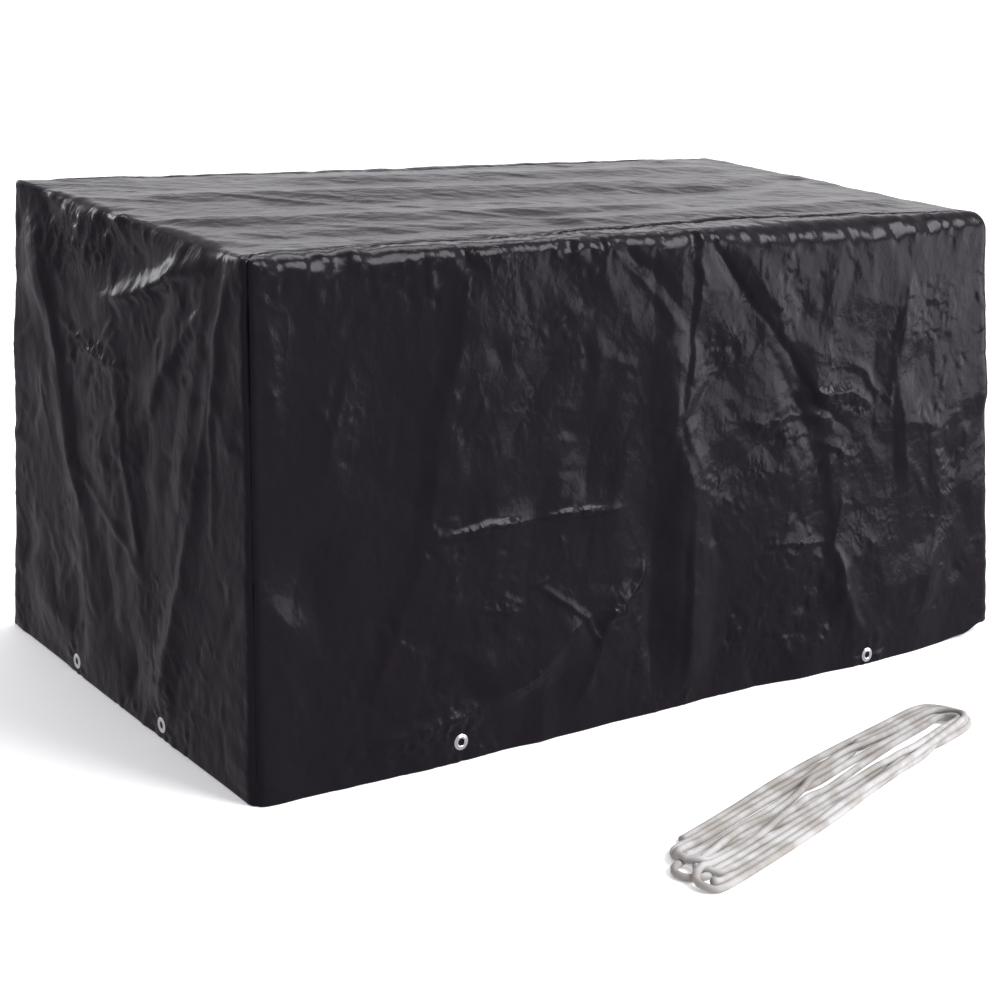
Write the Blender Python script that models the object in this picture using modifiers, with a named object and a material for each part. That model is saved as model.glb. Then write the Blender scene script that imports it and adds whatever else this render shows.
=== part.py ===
"""A fitted patio furniture cover, hanging over a furniture set that is left out, with its tie rope beside it.

The origin is on the floor under the middle of the cover. +X runs along the long side, the front faces -Y
and +Z is up. The cover is three cut panels: a centre panel that is the left wall, the top and the right
wall in one strip, and a front and a back panel sewn into its edges. Each wall ends in a folded hem strip
that reaches the floor and holds two eyelets.
"""

import math
from collections import namedtuple

import bmesh
import bpy
from mathutils import Matrix, Vector

# Driving sizes of the hung cover, in metres
HEIGHT = 0.800
# Each upright corner's (x, y) and radius at the floor and at the top: the walls lean out as they come down
Corner = namedtuple("Corner", "floor floor_radius top top_radius")
CORNERS = {
    "front_left": Corner((-0.8070, -0.4400), 0.022, (-0.8000, -0.3650), 0.012),
    "front_right": Corner((0.8260, -0.4400), 0.036, (0.7580, -0.3650), 0.034),
    "back_right": Corner((0.8080, 0.4400), 0.032, (0.7560, 0.4190), 0.030),
    "back_left": Corner((-0.8040, 0.4420), 0.010, (-0.8030, 0.4220), 0.010),
}
CORNER_CELLS = 2  # cells from a seam to where the corner ends

CLOTH = 0.0012
HEM_THICKNESS = 0.0024
HEM_HEIGHT = 0.050
HEM_FOOT = 0.0006  # height of the strip's outer edge, whose inner edge leans down to the floor
HEM_GAP = 0.0005  # from the top of the strip to the cloth over it
GAP = 0.0003
CORNER_PULL = 0.00045  # how far a cloth edge stops short of the seam at an upright corner
HEM_PULL = 0.0007  # the same for the thicker hem strip
SEAM_PULL = GAP / 2
CORNER_FADE = 0.045  # folds die out this close to an upright corner and to the top edge
TOP_FADE = 0.060  # and the top's wrinkles this close to its edges
SEAM_END = 0.005  # share of a seam on the top over which it runs into its corner

# Eyelets: a spool that grips the hem strip
EYELET_RADIUS = 0.0130
EYELET_BORE = 0.0060
EYELET_BARREL = 0.0071
EYELET_FLANGE = 0.0010
EYELET_SEGMENTS = 16
EYELET_CROWN = 0.0022  # from the bore's edge to the flange's highest ring
EYELET_LIP = 0.0008  # how far the flange's rolled rim reaches past its outer face
EYELET_ROLL = 0.92  # height of the bore's and the rim's edges, as a share of the flange's face
EYELET_FLAT = 0.022  # half the width of the flat place that the hem strip has for an eyelet
EYELET_CLEAR = 0.008  # no other column of the cloth comes this close to that place
DRILL_DEPTH = 0.020

# The coiled tie rope on the floor in front of the cover
ROPE_DIAMETER = 0.0115
HANK_LEFT_END = (-0.405, -0.925)
HANK_RIGHT_END = (0.428, -0.708)
HANK_RUNS_ACROSS = 7
HANK_HEIGHT = 2.7 * ROPE_DIAMETER
HANK_CELLS = 18  # along the hank
HANK_RIB = 0.10  # how deep the hollows between its runs are, as a share of its height
HANK_END_HEIGHT = 0.4  # its height at its ends, as the same share
HANK_FULLNESS = 0.6  # below 1 its section is fuller than an ellipse
# (share of the hank's length from its left end, half its width there)
HANK_HALF_WIDTH = ((0.0, 0.070), (0.12, 0.062), (0.30, 0.050), (0.62, 0.058), (0.85, 0.054), (1.0, 0.046))

# Each wall's corners in the order of a walk round the cover, and the axis, x or y, that it runs along
Side = namedtuple("Side", "start end axis")
SIDES = {
    "front": Side("front_left", "front_right", 0),
    "right": Side("front_right", "back_right", 1),
    "back": Side("back_right", "back_left", 0),
    "left": Side("back_left", "front_left", 1),
}

# Columns of the sheets, closer together where the folds are: (from, to, cells) in x or y
LONG_SPANS = ((-0.770, -0.250, 9), (-0.250, 0.450, 16), (0.450, 0.720, 5))
SHORT_SPANS = ((-0.350, 0.390, 12),)

Eyelet = namedtuple("Eyelet", "side along height")
EYELETS = {
    "eyelet_front_left": Eyelet("front", -0.442, 0.033),
    "eyelet_front_right": Eyelet("front", 0.461, 0.018),
    "eyelet_right_front": Eyelet("right", -0.147, 0.025),
    "eyelet_right_back": Eyelet("right", 0.168, 0.025),
    "eyelet_back_right": Eyelet("back", 0.461, 0.025),
    "eyelet_back_left": Eyelet("back", -0.442, 0.025),
    "eyelet_left_back": Eyelet("left", 0.168, 0.022),
    "eyelet_left_front": Eyelet("left", -0.147, 0.024),
}

# How round the top edge is along each side: (place along the side, radius)
TOP_EDGE_RADIUS = {
    "front": ((-0.800, 0.008), (-0.737, 0.032), (-0.337, 0.020), (0.070, 0.026), (0.320, 0.042),
              (0.754, 0.030)),
    "right": ((-0.365, 0.030), (0.419, 0.020)),
    "back": ((-0.800, 0.007), (-0.700, 0.018), (0.754, 0.020)),
    "left": ((-0.365, 0.008), (-0.180, 0.034), (0.041, 0.012), (0.161, 0.028), (0.419, 0.007)),
}

# The slow wave of each hem along its wall: (place along the side, how far out)
HEM_WAVE = {
    "front": ((-0.740, 0.002), (-0.500, 0.0075), (-0.200, 0.0037), (0.190, -0.003), (0.305, 0.0043),
              (0.450, 0.0128), (0.560, 0.0094), (0.700, 0.0)),
    "right": ((-0.300, 0.0), (-0.100, 0.007), (0.080, -0.002), (0.240, 0.006), (0.400, 0.0)),
    "back": ((-0.700, 0.0), (-0.420, 0.008), (-0.100, -0.002), (0.240, 0.009), (0.480, 0.001), (0.700, 0.0)),
    "left": ((-0.380, 0.0), (-0.150, 0.002), (0.050, 0.003), (0.300, 0.0)),
}
WAVE_HEIGHT = 0.35  # the wave dies out up to here
FOLD_FADE = 0.14  # the folds die out from here down to the hem
# The hem lifts off the floor at the rounded front right corner: (place along the side, height)
HEM_LIFT = {
    "front": ((0.660, 0.0), (0.733, 0.005), (0.790, 0.020), (0.826, 0.021)),
    "right": ((-0.440, 0.021), (-0.360, 0.014), (-0.180, 0.0)),
}

# How far in from the rounded top edge the panel's seam lies on the top: (x, distance)
SEAM_INSET = {
    "front": ((-0.80, 0.004), (-0.71, 0.008), (-0.45, 0.032), (0.00, 0.044), (0.18, 0.062), (0.38, 0.034),
              (0.62, 0.010), (0.72, 0.003)),
    "back": ((-0.80, 0.004), (-0.70, 0.012), (0.00, 0.025), (0.65, 0.010), (0.73, 0.003)),
}

# Main folds of each wall, as straight ridges (rise > 0) and hollows (rise < 0) between two places.
# start and end are places along the wall, in the same x or y as the cover's own, with their heights.
Fold = namedtuple("Fold", "start start_height end end_height half_width rise")
FOLDS = {
    "front": (
        Fold(0.045, 0.800, 0.012, 0.480, 0.060, 0.013),
        Fold(0.015, 0.500, 0.045, 0.380, 0.060, 0.012),
        Fold(0.045, 0.400, 0.035, -0.100, 0.065, 0.014),
        Fold(-0.045, 0.420, -0.045, -0.100, 0.070, -0.013),
        Fold(0.100, 0.800, 0.310, 0.490, 0.050, -0.012),
        Fold(0.310, 0.500, 0.390, 0.250, 0.060, -0.008),
        Fold(0.160, 0.800, 0.370, 0.500, 0.055, 0.010),
        Fold(-0.130, 0.800, 0.020, 0.640, 0.045, -0.011),
        Fold(-0.190, 0.780, -0.020, 0.600, 0.055, 0.009),
        Fold(-0.230, 0.170, -0.640, 0.000, 0.060, 0.010),
        Fold(-0.250, 0.080, -0.360, 0.010, 0.055, -0.009),
        Fold(-0.150, 0.190, -0.210, -0.060, 0.060, 0.008),
        Fold(0.380, 0.380, 0.400, 0.140, 0.055, 0.010),
        Fold(0.395, 0.160, 0.480, -0.060, 0.050, 0.009),
        Fold(0.560, 0.760, 0.600, 0.050, 0.110, 0.007),
        Fold(-0.500, 0.366, -0.120, 0.368, 0.040, 0.005),
        Fold(-0.560, 0.760, -0.600, 0.150, 0.160, -0.006),
        Fold(-0.330, 0.700, -0.380, 0.200, 0.140, 0.006),
    ),
    "left": (
        Fold(-0.310, 0.790, -0.235, 0.430, 0.050, 0.012),
        Fold(-0.235, 0.450, -0.110, -0.050, 0.055, 0.012),
        Fold(0.360, 0.700, 0.180, 0.370, 0.060, 0.010),
        Fold(0.180, 0.390, 0.100, 0.050, 0.070, 0.008),
        Fold(0.080, 0.650, -0.270, 0.765, 0.035, 0.010),
        Fold(-0.220, 0.690, -0.070, 0.490, 0.045, 0.008),
        Fold(0.020, 0.560, -0.085, 0.180, 0.060, 0.007),
        Fold(0.260, 0.790, 0.280, 0.560, 0.060, -0.007),
    ),
    "right": (
        Fold(-0.150, 0.780, -0.210, -0.060, 0.080, 0.010),
        Fold(0.090, 0.790, 0.020, 0.240, 0.070, -0.009),
        Fold(0.250, 0.700, 0.280, -0.060, 0.085, 0.011),
        Fold(0.060, 0.300, 0.110, -0.060, 0.080, 0.008),
    ),
    "back": (
        Fold(-0.520, 0.780, -0.560, -0.060, 0.120, 0.011),
        Fold(-0.220, 0.790, -0.140, 0.250, 0.100, -0.010),
        Fold(0.080, 0.780, 0.120, -0.060, 0.110, 0.012),
        Fold(0.400, 0.790, 0.330, 0.180, 0.100, -0.009),
        Fold(0.560, 0.600, 0.600, -0.060, 0.110, 0.009),
    ),
}

# Main wrinkles of the top: (x, y) of both ends, half width and rise
Wrinkle = namedtuple("Wrinkle", "start_x start_y end_x end_y half_width rise")
TOP_WRINKLES = (
    Wrinkle(-0.740, -0.050, 0.150, -0.130, 0.060, 0.005),
    Wrinkle(-0.650, 0.180, 0.300, 0.120, 0.065, 0.005),
    Wrinkle(-0.500, 0.060, 0.500, 0.010, 0.055, -0.004),
    Wrinkle(-0.300, 0.300, 0.600, 0.260, 0.070, 0.005),
    Wrinkle(-0.100, -0.220, 0.650, -0.190, 0.060, 0.005),
    Wrinkle(-0.700, -0.220, -0.150, -0.240, 0.050, -0.004),
    Wrinkle(0.050, -0.060, 0.680, 0.090, 0.060, -0.004),
)


def clamp(value):
    return min(max(value, 0.0), 1.0)


def ease(value):
    value = clamp(value)
    return value * value * (3 - 2 * value)


def read_table(rows, place):
    """The second column at this place in the first, eased from row to row."""
    if place <= rows[0][0]:
        return rows[0][1]
    for (a, first), (b, second) in zip(rows, rows[1:]):
        if place <= b:
            return first + (second - first) * ease((place - a) / (b - a))
    return rows[-1][1]


# --- the smooth surface that the cloth follows -------------------------------------------------------------

def corner_point(corner, height):
    made = CORNERS[corner]
    return Vector(made.floor).lerp(Vector(made.top), height / HEIGHT)


def corner_radius(corner, height):
    made = CORNERS[corner]
    return made.floor_radius + (made.top_radius - made.floor_radius) * height / HEIGHT


def side_length(side):
    wall = SIDES[side]
    return (corner_point(wall.end, 0.0) - corner_point(wall.start, 0.0)).length


def side_directions(side, height):
    """The way along a wall and the way out of it, in plan."""
    wall = SIDES[side]
    along = (corner_point(wall.end, height) - corner_point(wall.start, height)).normalized()
    return along, Vector((along.y, -along.x))


def outwards_of(side):
    return side_directions(side, 0.0)[1].to_3d()


def corner_share(side, corner):
    """The part of a side's walk, from seam to seam, that goes round half of this corner."""
    return CORNERS[corner].floor_radius * math.pi / 4 / side_length(side)


def plan_point(side, share, height, inset=0.0):
    """(x, y) and outward (x, y) at a share of the walk along a wall, moved in by inset."""
    wall = SIDES[side]
    along, out = side_directions(side, height)
    start = corner_point(wall.start, height) + (along - out) * inset
    end = corner_point(wall.end, height) - (along + out) * inset
    start_radius = corner_radius(wall.start, height) - inset
    end_radius = corner_radius(wall.end, height) - inset
    first, last = (corner_share(side, c) for c in (wall.start, wall.end))
    if share < first:
        angle = math.pi / 4 * (1 + share / first)
        normal = -along * math.cos(angle) + out * math.sin(angle)
        return start + (along - out + normal) * start_radius, normal
    if share > 1 - last:
        angle = math.pi / 4 * (1 + (1 - share) / last)
        normal = along * math.cos(angle) + out * math.sin(angle)
        return end + (normal - along - out) * end_radius, normal
    straight = (share - first) / (1 - first - last)
    return (start + along * start_radius).lerp(end - along * end_radius, straight), out


def share_at(side, place, height=0.0):
    """The share of the walk at which a wall reaches this x or y on its straight stretch."""
    wall = SIDES[side]
    first, last = (corner_share(side, c) for c in (wall.start, wall.end))
    start = plan_point(side, first, height)[0][wall.axis]
    end = plan_point(side, 1 - last, height)[0][wall.axis]
    return first + (1 - first - last) * (place - start) / (end - start)


def place_at(side, share, height=0.0):
    """The x or y of a wall's straight line at a share of its walk."""
    return plan_point(side, share, height)[0][SIDES[side].axis]


def segment_bump(across, along, length, half_width):
    """1 on the line of a fold, easing to 0 at its half width and past its ends."""
    beyond = max(-along, along - length, 0.0)
    reach = math.hypot(across, beyond) / half_width
    return 0.5 + 0.5 * math.cos(math.pi * min(reach, 1.0))


def fold_rise(folds, place, height):
    total = 0.0
    for fold in folds:
        start = Vector((fold.start, fold.start_height))
        line = Vector((fold.end, fold.end_height)) - start
        length = line.length
        line.normalize()
        offset = Vector((place, height)) - start
        across = offset.x * line.y - offset.y * line.x
        total += fold.rise * segment_bump(across, offset.dot(line), length, fold.half_width)
    return total


def wall_rise(side, share, height):
    """How far the folds and the hem's wave lift the cloth off the smooth wall."""
    low = 1 - ease((height - HEM_HEIGHT) / (2 * HEM_HEIGHT))
    place = place_at(side, share)
    for eyelet in EYELETS.values():
        near = abs(place - eyelet.along) <= EYELET_FLAT + GAP
        if eyelet.side == side and near:
            place += (eyelet.along - place) * low
    from_corner = min(share, 1 - share) * side_length(side)
    fade = ease(from_corner / CORNER_FADE) * ease((HEIGHT - height) / CORNER_FADE) * ease(height / FOLD_FADE)
    wave = read_table(HEM_WAVE[side], place) * (1 - ease(height / WAVE_HEIGHT))
    return fade * fold_rise(FOLDS[side], place, height) + wave * ease(from_corner / CORNER_FADE)


def hem_lift(side, share):
    return read_table(HEM_LIFT[side], place_at(side, share)) if side in HEM_LIFT else 0.0


def top_rise(x, y):
    near, far = CORNERS["front_left"].top, CORNERS["back_right"].top
    edge = min(x - near[0], far[0] - x, y - near[1], far[1] - y)
    wrinkles = [Fold(w.start_x, w.start_y, w.end_x, w.end_y, w.half_width, w.rise) for w in TOP_WRINKLES]
    return ease(edge / TOP_FADE) * fold_rise(wrinkles, x, y)


def edge_radius(side, share):
    return read_table(TOP_EDGE_RADIUS[side], place_at(side, share, HEIGHT))


def wall_surface(side, share, height):
    point, normal = plan_point(side, share, height)
    point = point + normal * wall_rise(side, share, height)
    return Vector((point.x, point.y, height))


def edge_surface(side, share, turn):
    """The cloth's way over the top edge: turn 0 is the wall's end and turn 1 is level."""
    radius = edge_radius(side, share)
    angle = turn * math.pi / 2
    height = HEIGHT - radius * (1 - math.sin(angle))
    point, normal = plan_point(side, share, height, radius * (1 - math.cos(angle)))
    point = point + normal * wall_rise(side, share, height) * math.cos(angle)
    return Vector((point.x, point.y, height))


def seam_point(side, share, pull):
    """The seam on the top, from corner to corner. pull moves it to the wall (< 0) or to the middle (> 0)."""
    ends = [edge_surface(side, at, 1.0) for at in (0.0, 1.0)]
    x = ends[0].x + (ends[1].x - ends[0].x) * share
    wall_ends = [corner_point(corner, HEIGHT) for corner in (SIDES[side].start, SIDES[side].end)]
    step = (x - wall_ends[0].x) / (wall_ends[1].x - wall_ends[0].x)
    wall_y = wall_ends[0].lerp(wall_ends[1], step).y
    inwards = 1 if side == "front" else -1
    y = wall_y + inwards * (read_table(TOP_EDGE_RADIUS[side], x) + read_table(SEAM_INSET[side], x))
    end = ends[0] if share < 0.5 else ends[1]
    y += (end.y - y) * ease(1 - min(share, 1 - share) / SEAM_END)
    y += inwards * pull
    return Vector((x, y, HEIGHT + top_rise(x, y)))


# --- columns and rows of the sheets ------------------------------------------------------------------------

def side_columns(side, pull):
    """Shares of the walk at which a wall has its columns, with a flat place round each eyelet."""
    wall = SIDES[side]
    long_side = side in ("front", "back")
    eyelets = [e.along for e in EYELETS.values() if e.side == side]
    places = []
    for low, high, cells in LONG_SPANS if long_side else SHORT_SPANS:
        places += [low + (high - low) * i / cells for i in range(cells + 1)]
    clear = EYELET_FLAT + EYELET_CLEAR
    places = [p for p in places if all(abs(p - e) > clear for e in eyelets)]
    places += [e + step for e in eyelets for step in (-EYELET_FLAT, EYELET_FLAT)]
    straight = sorted({round(share_at(side, place), 6) for place in places})
    first, last = (corner_share(side, c) for c in (wall.start, wall.end))
    start = [first * i / CORNER_CELLS for i in range(CORNER_CELLS + 1)]
    end = [1 - last * i / CORNER_CELLS for i in reversed(range(CORNER_CELLS + 1))]
    length = side_length(side)
    start[0] = pull / length
    end[-1] = 1 - pull / length
    return start + straight + end


def wall_heights(side, share, rows):
    """Heights of a wall's rows, from just over the hem strip to where the top edge begins to turn."""
    bottom = HEM_HEIGHT + HEM_GAP + hem_lift(side, share)
    top = HEIGHT - edge_radius(side, share)
    return [bottom + (top - bottom) * i / rows for i in range(rows + 1)]


def sheet(name, across, up, surface, thickness, outwards):
    """A sheet of cloth: a grid of across by up cells laid on surface(i, j), thickened inwards."""
    mesh = bpy.data.meshes.new(name)
    grid = bmesh.new()
    bmesh.ops.create_grid(grid, x_segments=across, y_segments=up, size=0.5)
    for vertex in grid.verts:
        column = round((vertex.co.x + 0.5) * across)
        row = round((vertex.co.y + 0.5) * up)
        vertex.co = surface(column, row)
    grid.normal_update()
    grid.faces.ensure_lookup_table()
    middle = grid.faces[len(grid.faces) // 2]
    if middle.normal.dot(outwards) < 0:
        bmesh.ops.reverse_faces(grid, faces=grid.faces)
    grid.to_mesh(mesh)
    grid.free()
    mesh.shade_smooth()
    part = bpy.data.objects.new(name, mesh)
    parts.objects.link(part)
    solid = part.modifiers.new("thickness", "SOLIDIFY")
    solid.thickness = thickness
    solid.offset = -1
    return part


# --- materials ---------------------------------------------------------------------------------------------

def material(name, colour, roughness, metallic=0.0):
    made = bpy.data.materials.new(name)
    made.use_nodes = True
    shader = made.node_tree.nodes["Principled BSDF"]
    shader.inputs["Base Color"].default_value = (*colour, 1.0)
    shader.inputs["Roughness"].default_value = roughness
    shader.inputs["Metallic"].default_value = metallic
    return made


# --- sub-parts ---------------------------------------------------------------------------------------------

WALL_ROWS = {"front": 13, "back": 7, "left": 12, "right": 8}
SEAM_ROWS = {"front": 2, "back": 1}
EDGE_ROWS = 3


def seam_pull(share):
    near_end = min(share, 1 - share)
    return SEAM_PULL + (CORNER_PULL - SEAM_PULL) * ease(1 - near_end / SEAM_END)


def make_wall_panel(side):
    """The front or the back panel: hem to top edge, over it and in to its seam on the top."""
    columns = side_columns(side, CORNER_PULL)
    rows = WALL_ROWS[side]

    def surface(column, row):
        share = columns[column]
        if row <= rows:
            return wall_surface(side, share, wall_heights(side, share, rows)[row])
        if row <= rows + EDGE_ROWS:
            return edge_surface(side, share, (row - rows) / EDGE_ROWS)
        edge = edge_surface(side, share, 1.0)
        seam = seam_point(side, share, -seam_pull(share))
        point = edge.lerp(seam, (row - rows - EDGE_ROWS) / SEAM_ROWS[side])
        point.z = HEIGHT + top_rise(point.x, point.y)
        return point

    up = rows + EDGE_ROWS + SEAM_ROWS[side]
    panel = sheet(f"{side}_panel", len(columns) - 1, up, surface, CLOTH, outwards_of(side))
    panel.data.materials.append(cloth)


def unit_steps(shares):
    """The same steps, stretched to run from 0 to 1."""
    return [(share - shares[0]) / (shares[-1] - shares[0]) for share in shares]


def make_centre_panel():
    """Left wall, top and right wall in one strip, from the left hem up, over and down to the right hem."""
    front = side_columns("front", CORNER_PULL)
    right = side_columns("right", CORNER_PULL)
    back = side_columns("back", CORNER_PULL)[::-1]
    left = side_columns("left", CORNER_PULL)[::-1]
    across = len(left) - 1
    front_steps, back_steps = unit_steps(front), unit_steps(back)
    depth_steps = unit_steps(left)
    left_edge = [edge_surface("left", share, 1.0) for share in left]
    right_edge = [edge_surface("right", share, 1.0) for share in right]

    def top_surface(i, column):
        deep = depth_steps[column]
        step = front_steps[i] + (back_steps[i] - front_steps[i]) * deep
        front_seam = seam_point("front", front[i], seam_pull(front[i]))
        back_seam = seam_point("back", back[i], seam_pull(back[i]))
        point = left_edge[column].lerp(right_edge[column], step)
        point += (front_seam - left_edge[0].lerp(right_edge[0], front_steps[i])) * (1 - deep)
        point += (back_seam - left_edge[-1].lerp(right_edge[-1], back_steps[i])) * deep
        point.z = HEIGHT + top_rise(point.x, point.y)
        return point

    rows = (WALL_ROWS["left"], EDGE_ROWS, len(front) - 1, EDGE_ROWS, WALL_ROWS["right"])
    marks = [sum(rows[:i]) for i in range(len(rows) + 1)]

    def surface(row, column):
        if row <= marks[1]:
            return wall_surface("left", left[column], wall_heights("left", left[column], rows[0])[row])
        if row < marks[2]:
            return edge_surface("left", left[column], (row - marks[1]) / EDGE_ROWS)
        if row <= marks[3]:
            return top_surface(row - marks[2], column)
        if row < marks[4]:
            return edge_surface("right", right[column], 1 - (row - marks[3]) / EDGE_ROWS)
        heights = wall_heights("right", right[column], rows[4])
        return wall_surface("right", right[column], heights[marks[5] - row])

    panel = sheet("centre_panel", marks[5], across, surface, CLOTH, Vector((0, 0, 1)))
    panel.data.materials.append(cloth)


def make_hem(side):
    """The folded strip at a wall's foot, with a hole for the barrel of each of its eyelets."""
    columns = side_columns(side, HEM_PULL)

    def surface(column, row):
        share = columns[column]
        return wall_surface(side, share, hem_lift(side, share) + (HEM_HEIGHT if row else HEM_FOOT))

    hem = sheet(f"hem_{side}", len(columns) - 1, 1, surface, HEM_THICKNESS, outwards_of(side))
    hem.data.materials.append(hem_cloth)
    for name, eyelet in EYELETS.items():
        if eyelet.side != side:
            continue
        centre, outwards = eyelet_seat(eyelet)
        radius = EYELET_BARREL + GAP
        bpy.ops.mesh.primitive_cylinder_add(vertices=EYELET_SEGMENTS, radius=radius, depth=DRILL_DEPTH)
        drill = bpy.context.object
        drill.name = f"drill_{name}"
        drill.matrix_world = seat_matrix(centre, outwards)
        move_to(drill, cutters)
        drill.hide_render = True
        drill.display_type = "WIRE"
        hole = hem.modifiers.new("hole", "BOOLEAN")
        hole.object = drill
        hole.operation = "DIFFERENCE"


def eyelet_seat(eyelet):
    """The middle of the hem's thickness at an eyelet, and the way that the eyelet faces."""
    shares = [share_at(eyelet.side, eyelet.along + step) for step in (-EYELET_FLAT, EYELET_FLAT)]
    lower = [wall_surface(eyelet.side, share, 0.0) for share in shares]
    upper = [wall_surface(eyelet.side, share, HEM_HEIGHT) for share in shares]
    along = (lower[1] - lower[0]).normalized()
    up = (upper[0] - lower[0]).normalized()
    outwards = along.cross(up).normalized()
    if outwards.dot(outwards_of(eyelet.side)) < 0:
        outwards.negate()
    face = (lower[0] + lower[1]) / 2
    face = face.lerp((upper[0] + upper[1]) / 2, eyelet.height / HEM_HEIGHT)
    return face - outwards * HEM_THICKNESS / 2, outwards


def seat_matrix(centre, outwards):
    return Matrix.Translation(centre) @ outwards.to_track_quat("Z", "Y").to_matrix().to_4x4()


def eyelet_mesh():
    """Half of an eyelet's section, walked down its outer side, for a turn round Z."""
    grip = HEM_THICKNESS / 2 + GAP
    face = grip + EYELET_FLANGE
    section = (
        (EYELET_BORE, face * EYELET_ROLL),
        (EYELET_BORE + EYELET_CROWN, face),
        (EYELET_RADIUS - EYELET_LIP, face * EYELET_ROLL),
        (EYELET_RADIUS, grip),
        (EYELET_BARREL, grip),
        (EYELET_BARREL, -grip),
        (EYELET_RADIUS - EYELET_LIP, -grip),
        (EYELET_BORE, -face),
    )
    mesh = bpy.data.meshes.new("eyelet")
    outline = bmesh.new()
    points = [outline.verts.new((radius, 0.0, z)) for radius, z in section]
    for first, second in zip(points, points[1:] + points[:1]):
        outline.edges.new((first, second))
    outline.to_mesh(mesh)
    outline.free()
    mesh.materials.append(steel)
    return mesh


def make_eyelets():
    mesh = eyelet_mesh()
    for name, eyelet in EYELETS.items():
        ring = bpy.data.objects.new(name, mesh)
        parts.objects.link(ring)
        ring.matrix_world = seat_matrix(*eyelet_seat(eyelet))
        turn = ring.modifiers.new("turn", "SCREW")
        turn.axis = "Z"
        turn.steps = turn.render_steps = EYELET_SEGMENTS
        turn.use_merge_vertices = True
        turn.merge_threshold = 0.0001
        turn.use_smooth_shade = True


def make_rope_hank():
    """The coiled rope's outer form: a low bundle ribbed by its runs, wider where its bights part."""
    start, end = Vector(HANK_LEFT_END), Vector(HANK_RIGHT_END)
    axis = (end - start).normalized()
    aside = Vector((-axis.y, axis.x))
    length = (end - start).length
    ball = bmesh.new()
    bmesh.ops.create_uvsphere(ball, u_segments=4 * HANK_RUNS_ACROSS, v_segments=HANK_CELLS, radius=1.0)
    for vertex in ball.verts:
        at = 0.5 + vertex.co.z / 2
        angle = math.atan2(vertex.co.y, vertex.co.x)
        half_width = read_table(HANK_HALF_WIDTH, at)
        to_end = min(at, 1 - at) * length
        narrow = math.sqrt(1 - (1 - min(to_end / half_width, 1.0)) ** 2)
        rib = 1 - HANK_RIB * (0.5 + 0.5 * math.cos(2 * HANK_RUNS_ACROSS * angle))
        high = HANK_HEIGHT * (HANK_END_HEIGHT + (1 - HANK_END_HEIGHT) * narrow) * rib
        swell = math.copysign(abs(math.sin(angle)) ** HANK_FULLNESS, math.sin(angle)) * narrow
        ground = start + axis * at * length + aside * half_width * narrow * math.cos(angle)
        vertex.co = Vector((ground.x, ground.y, high * (0.5 + 0.5 * swell)))
    mesh = bpy.data.meshes.new("rope_hank")
    ball.to_mesh(mesh)
    ball.free()
    mesh.shade_smooth()
    mesh.materials.append(rope)
    parts.objects.link(bpy.data.objects.new("rope_hank", mesh))


def move_to(thing, collection):
    for holder in thing.users_collection:
        holder.objects.unlink(thing)
    collection.objects.link(thing)


def clear_scene():
    for old in list(bpy.data.objects):
        bpy.data.objects.remove(old, do_unlink=True)


clear_scene()
parts = bpy.data.collections.new("patio_furniture_cover")
cutters = bpy.data.collections.new("cutters")
for made in (parts, cutters):
    bpy.context.scene.collection.children.link(made)
cloth = material("black woven sheet", (0.020, 0.019, 0.022), 0.45)
hem_cloth = material("black folded hem", (0.018, 0.017, 0.020), 0.50)
steel = material("zinc plated steel", (0.72, 0.72, 0.74), 0.30, 1.0)
rope = material("white braided rope", (0.80, 0.79, 0.78), 0.75)
make_centre_panel()
for wall_name in ("front", "back"):
    make_wall_panel(wall_name)
for wall_name in SIDES:
    make_hem(wall_name)
make_eyelets()
make_rope_hank()
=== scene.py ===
"""Dresses a hung patio furniture cover and the coiled tie rope that lies beside it.

The cover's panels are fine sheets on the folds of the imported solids, with their creases, crinkles and
puckered seams. Everything is in metres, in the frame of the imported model: the origin is on the floor under
the middle of the cover, +X runs along its long side and the front faces -Y.
"""

import math
from collections import namedtuple

import bmesh
import bpy
import numpy as np
from bpy.props import FloatProperty, FloatVectorProperty, IntProperty, PointerProperty
from bpy.types import Operator, Panel, PropertyGroup
from mathutils import Matrix, Vector


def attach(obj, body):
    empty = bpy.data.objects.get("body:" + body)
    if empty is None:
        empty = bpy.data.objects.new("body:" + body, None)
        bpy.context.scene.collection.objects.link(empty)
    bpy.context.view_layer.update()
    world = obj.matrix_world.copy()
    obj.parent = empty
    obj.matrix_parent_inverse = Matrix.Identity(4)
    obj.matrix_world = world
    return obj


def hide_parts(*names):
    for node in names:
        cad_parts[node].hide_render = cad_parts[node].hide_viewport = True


bl_info = {
    "name": "Patio furniture cover",
    "version": (1, 0, 0),
    "blender": (4, 5, 0),
    "location": "3D View > Sidebar > Cover",
    "description": "Creased plastic sheet cover with eyelets in its hem, and its coiled tie rope",
    "category": "Add Mesh",
}

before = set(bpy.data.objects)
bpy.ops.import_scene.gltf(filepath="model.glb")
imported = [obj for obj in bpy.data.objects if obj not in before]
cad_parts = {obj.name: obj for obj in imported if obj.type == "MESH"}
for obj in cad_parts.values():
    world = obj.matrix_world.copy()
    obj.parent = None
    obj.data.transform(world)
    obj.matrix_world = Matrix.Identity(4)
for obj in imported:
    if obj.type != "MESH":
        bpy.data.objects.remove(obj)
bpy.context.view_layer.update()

# --- the hung cover's own sizes, as in its solids ----------------------------------------------------------

HEIGHT = 0.800
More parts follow.
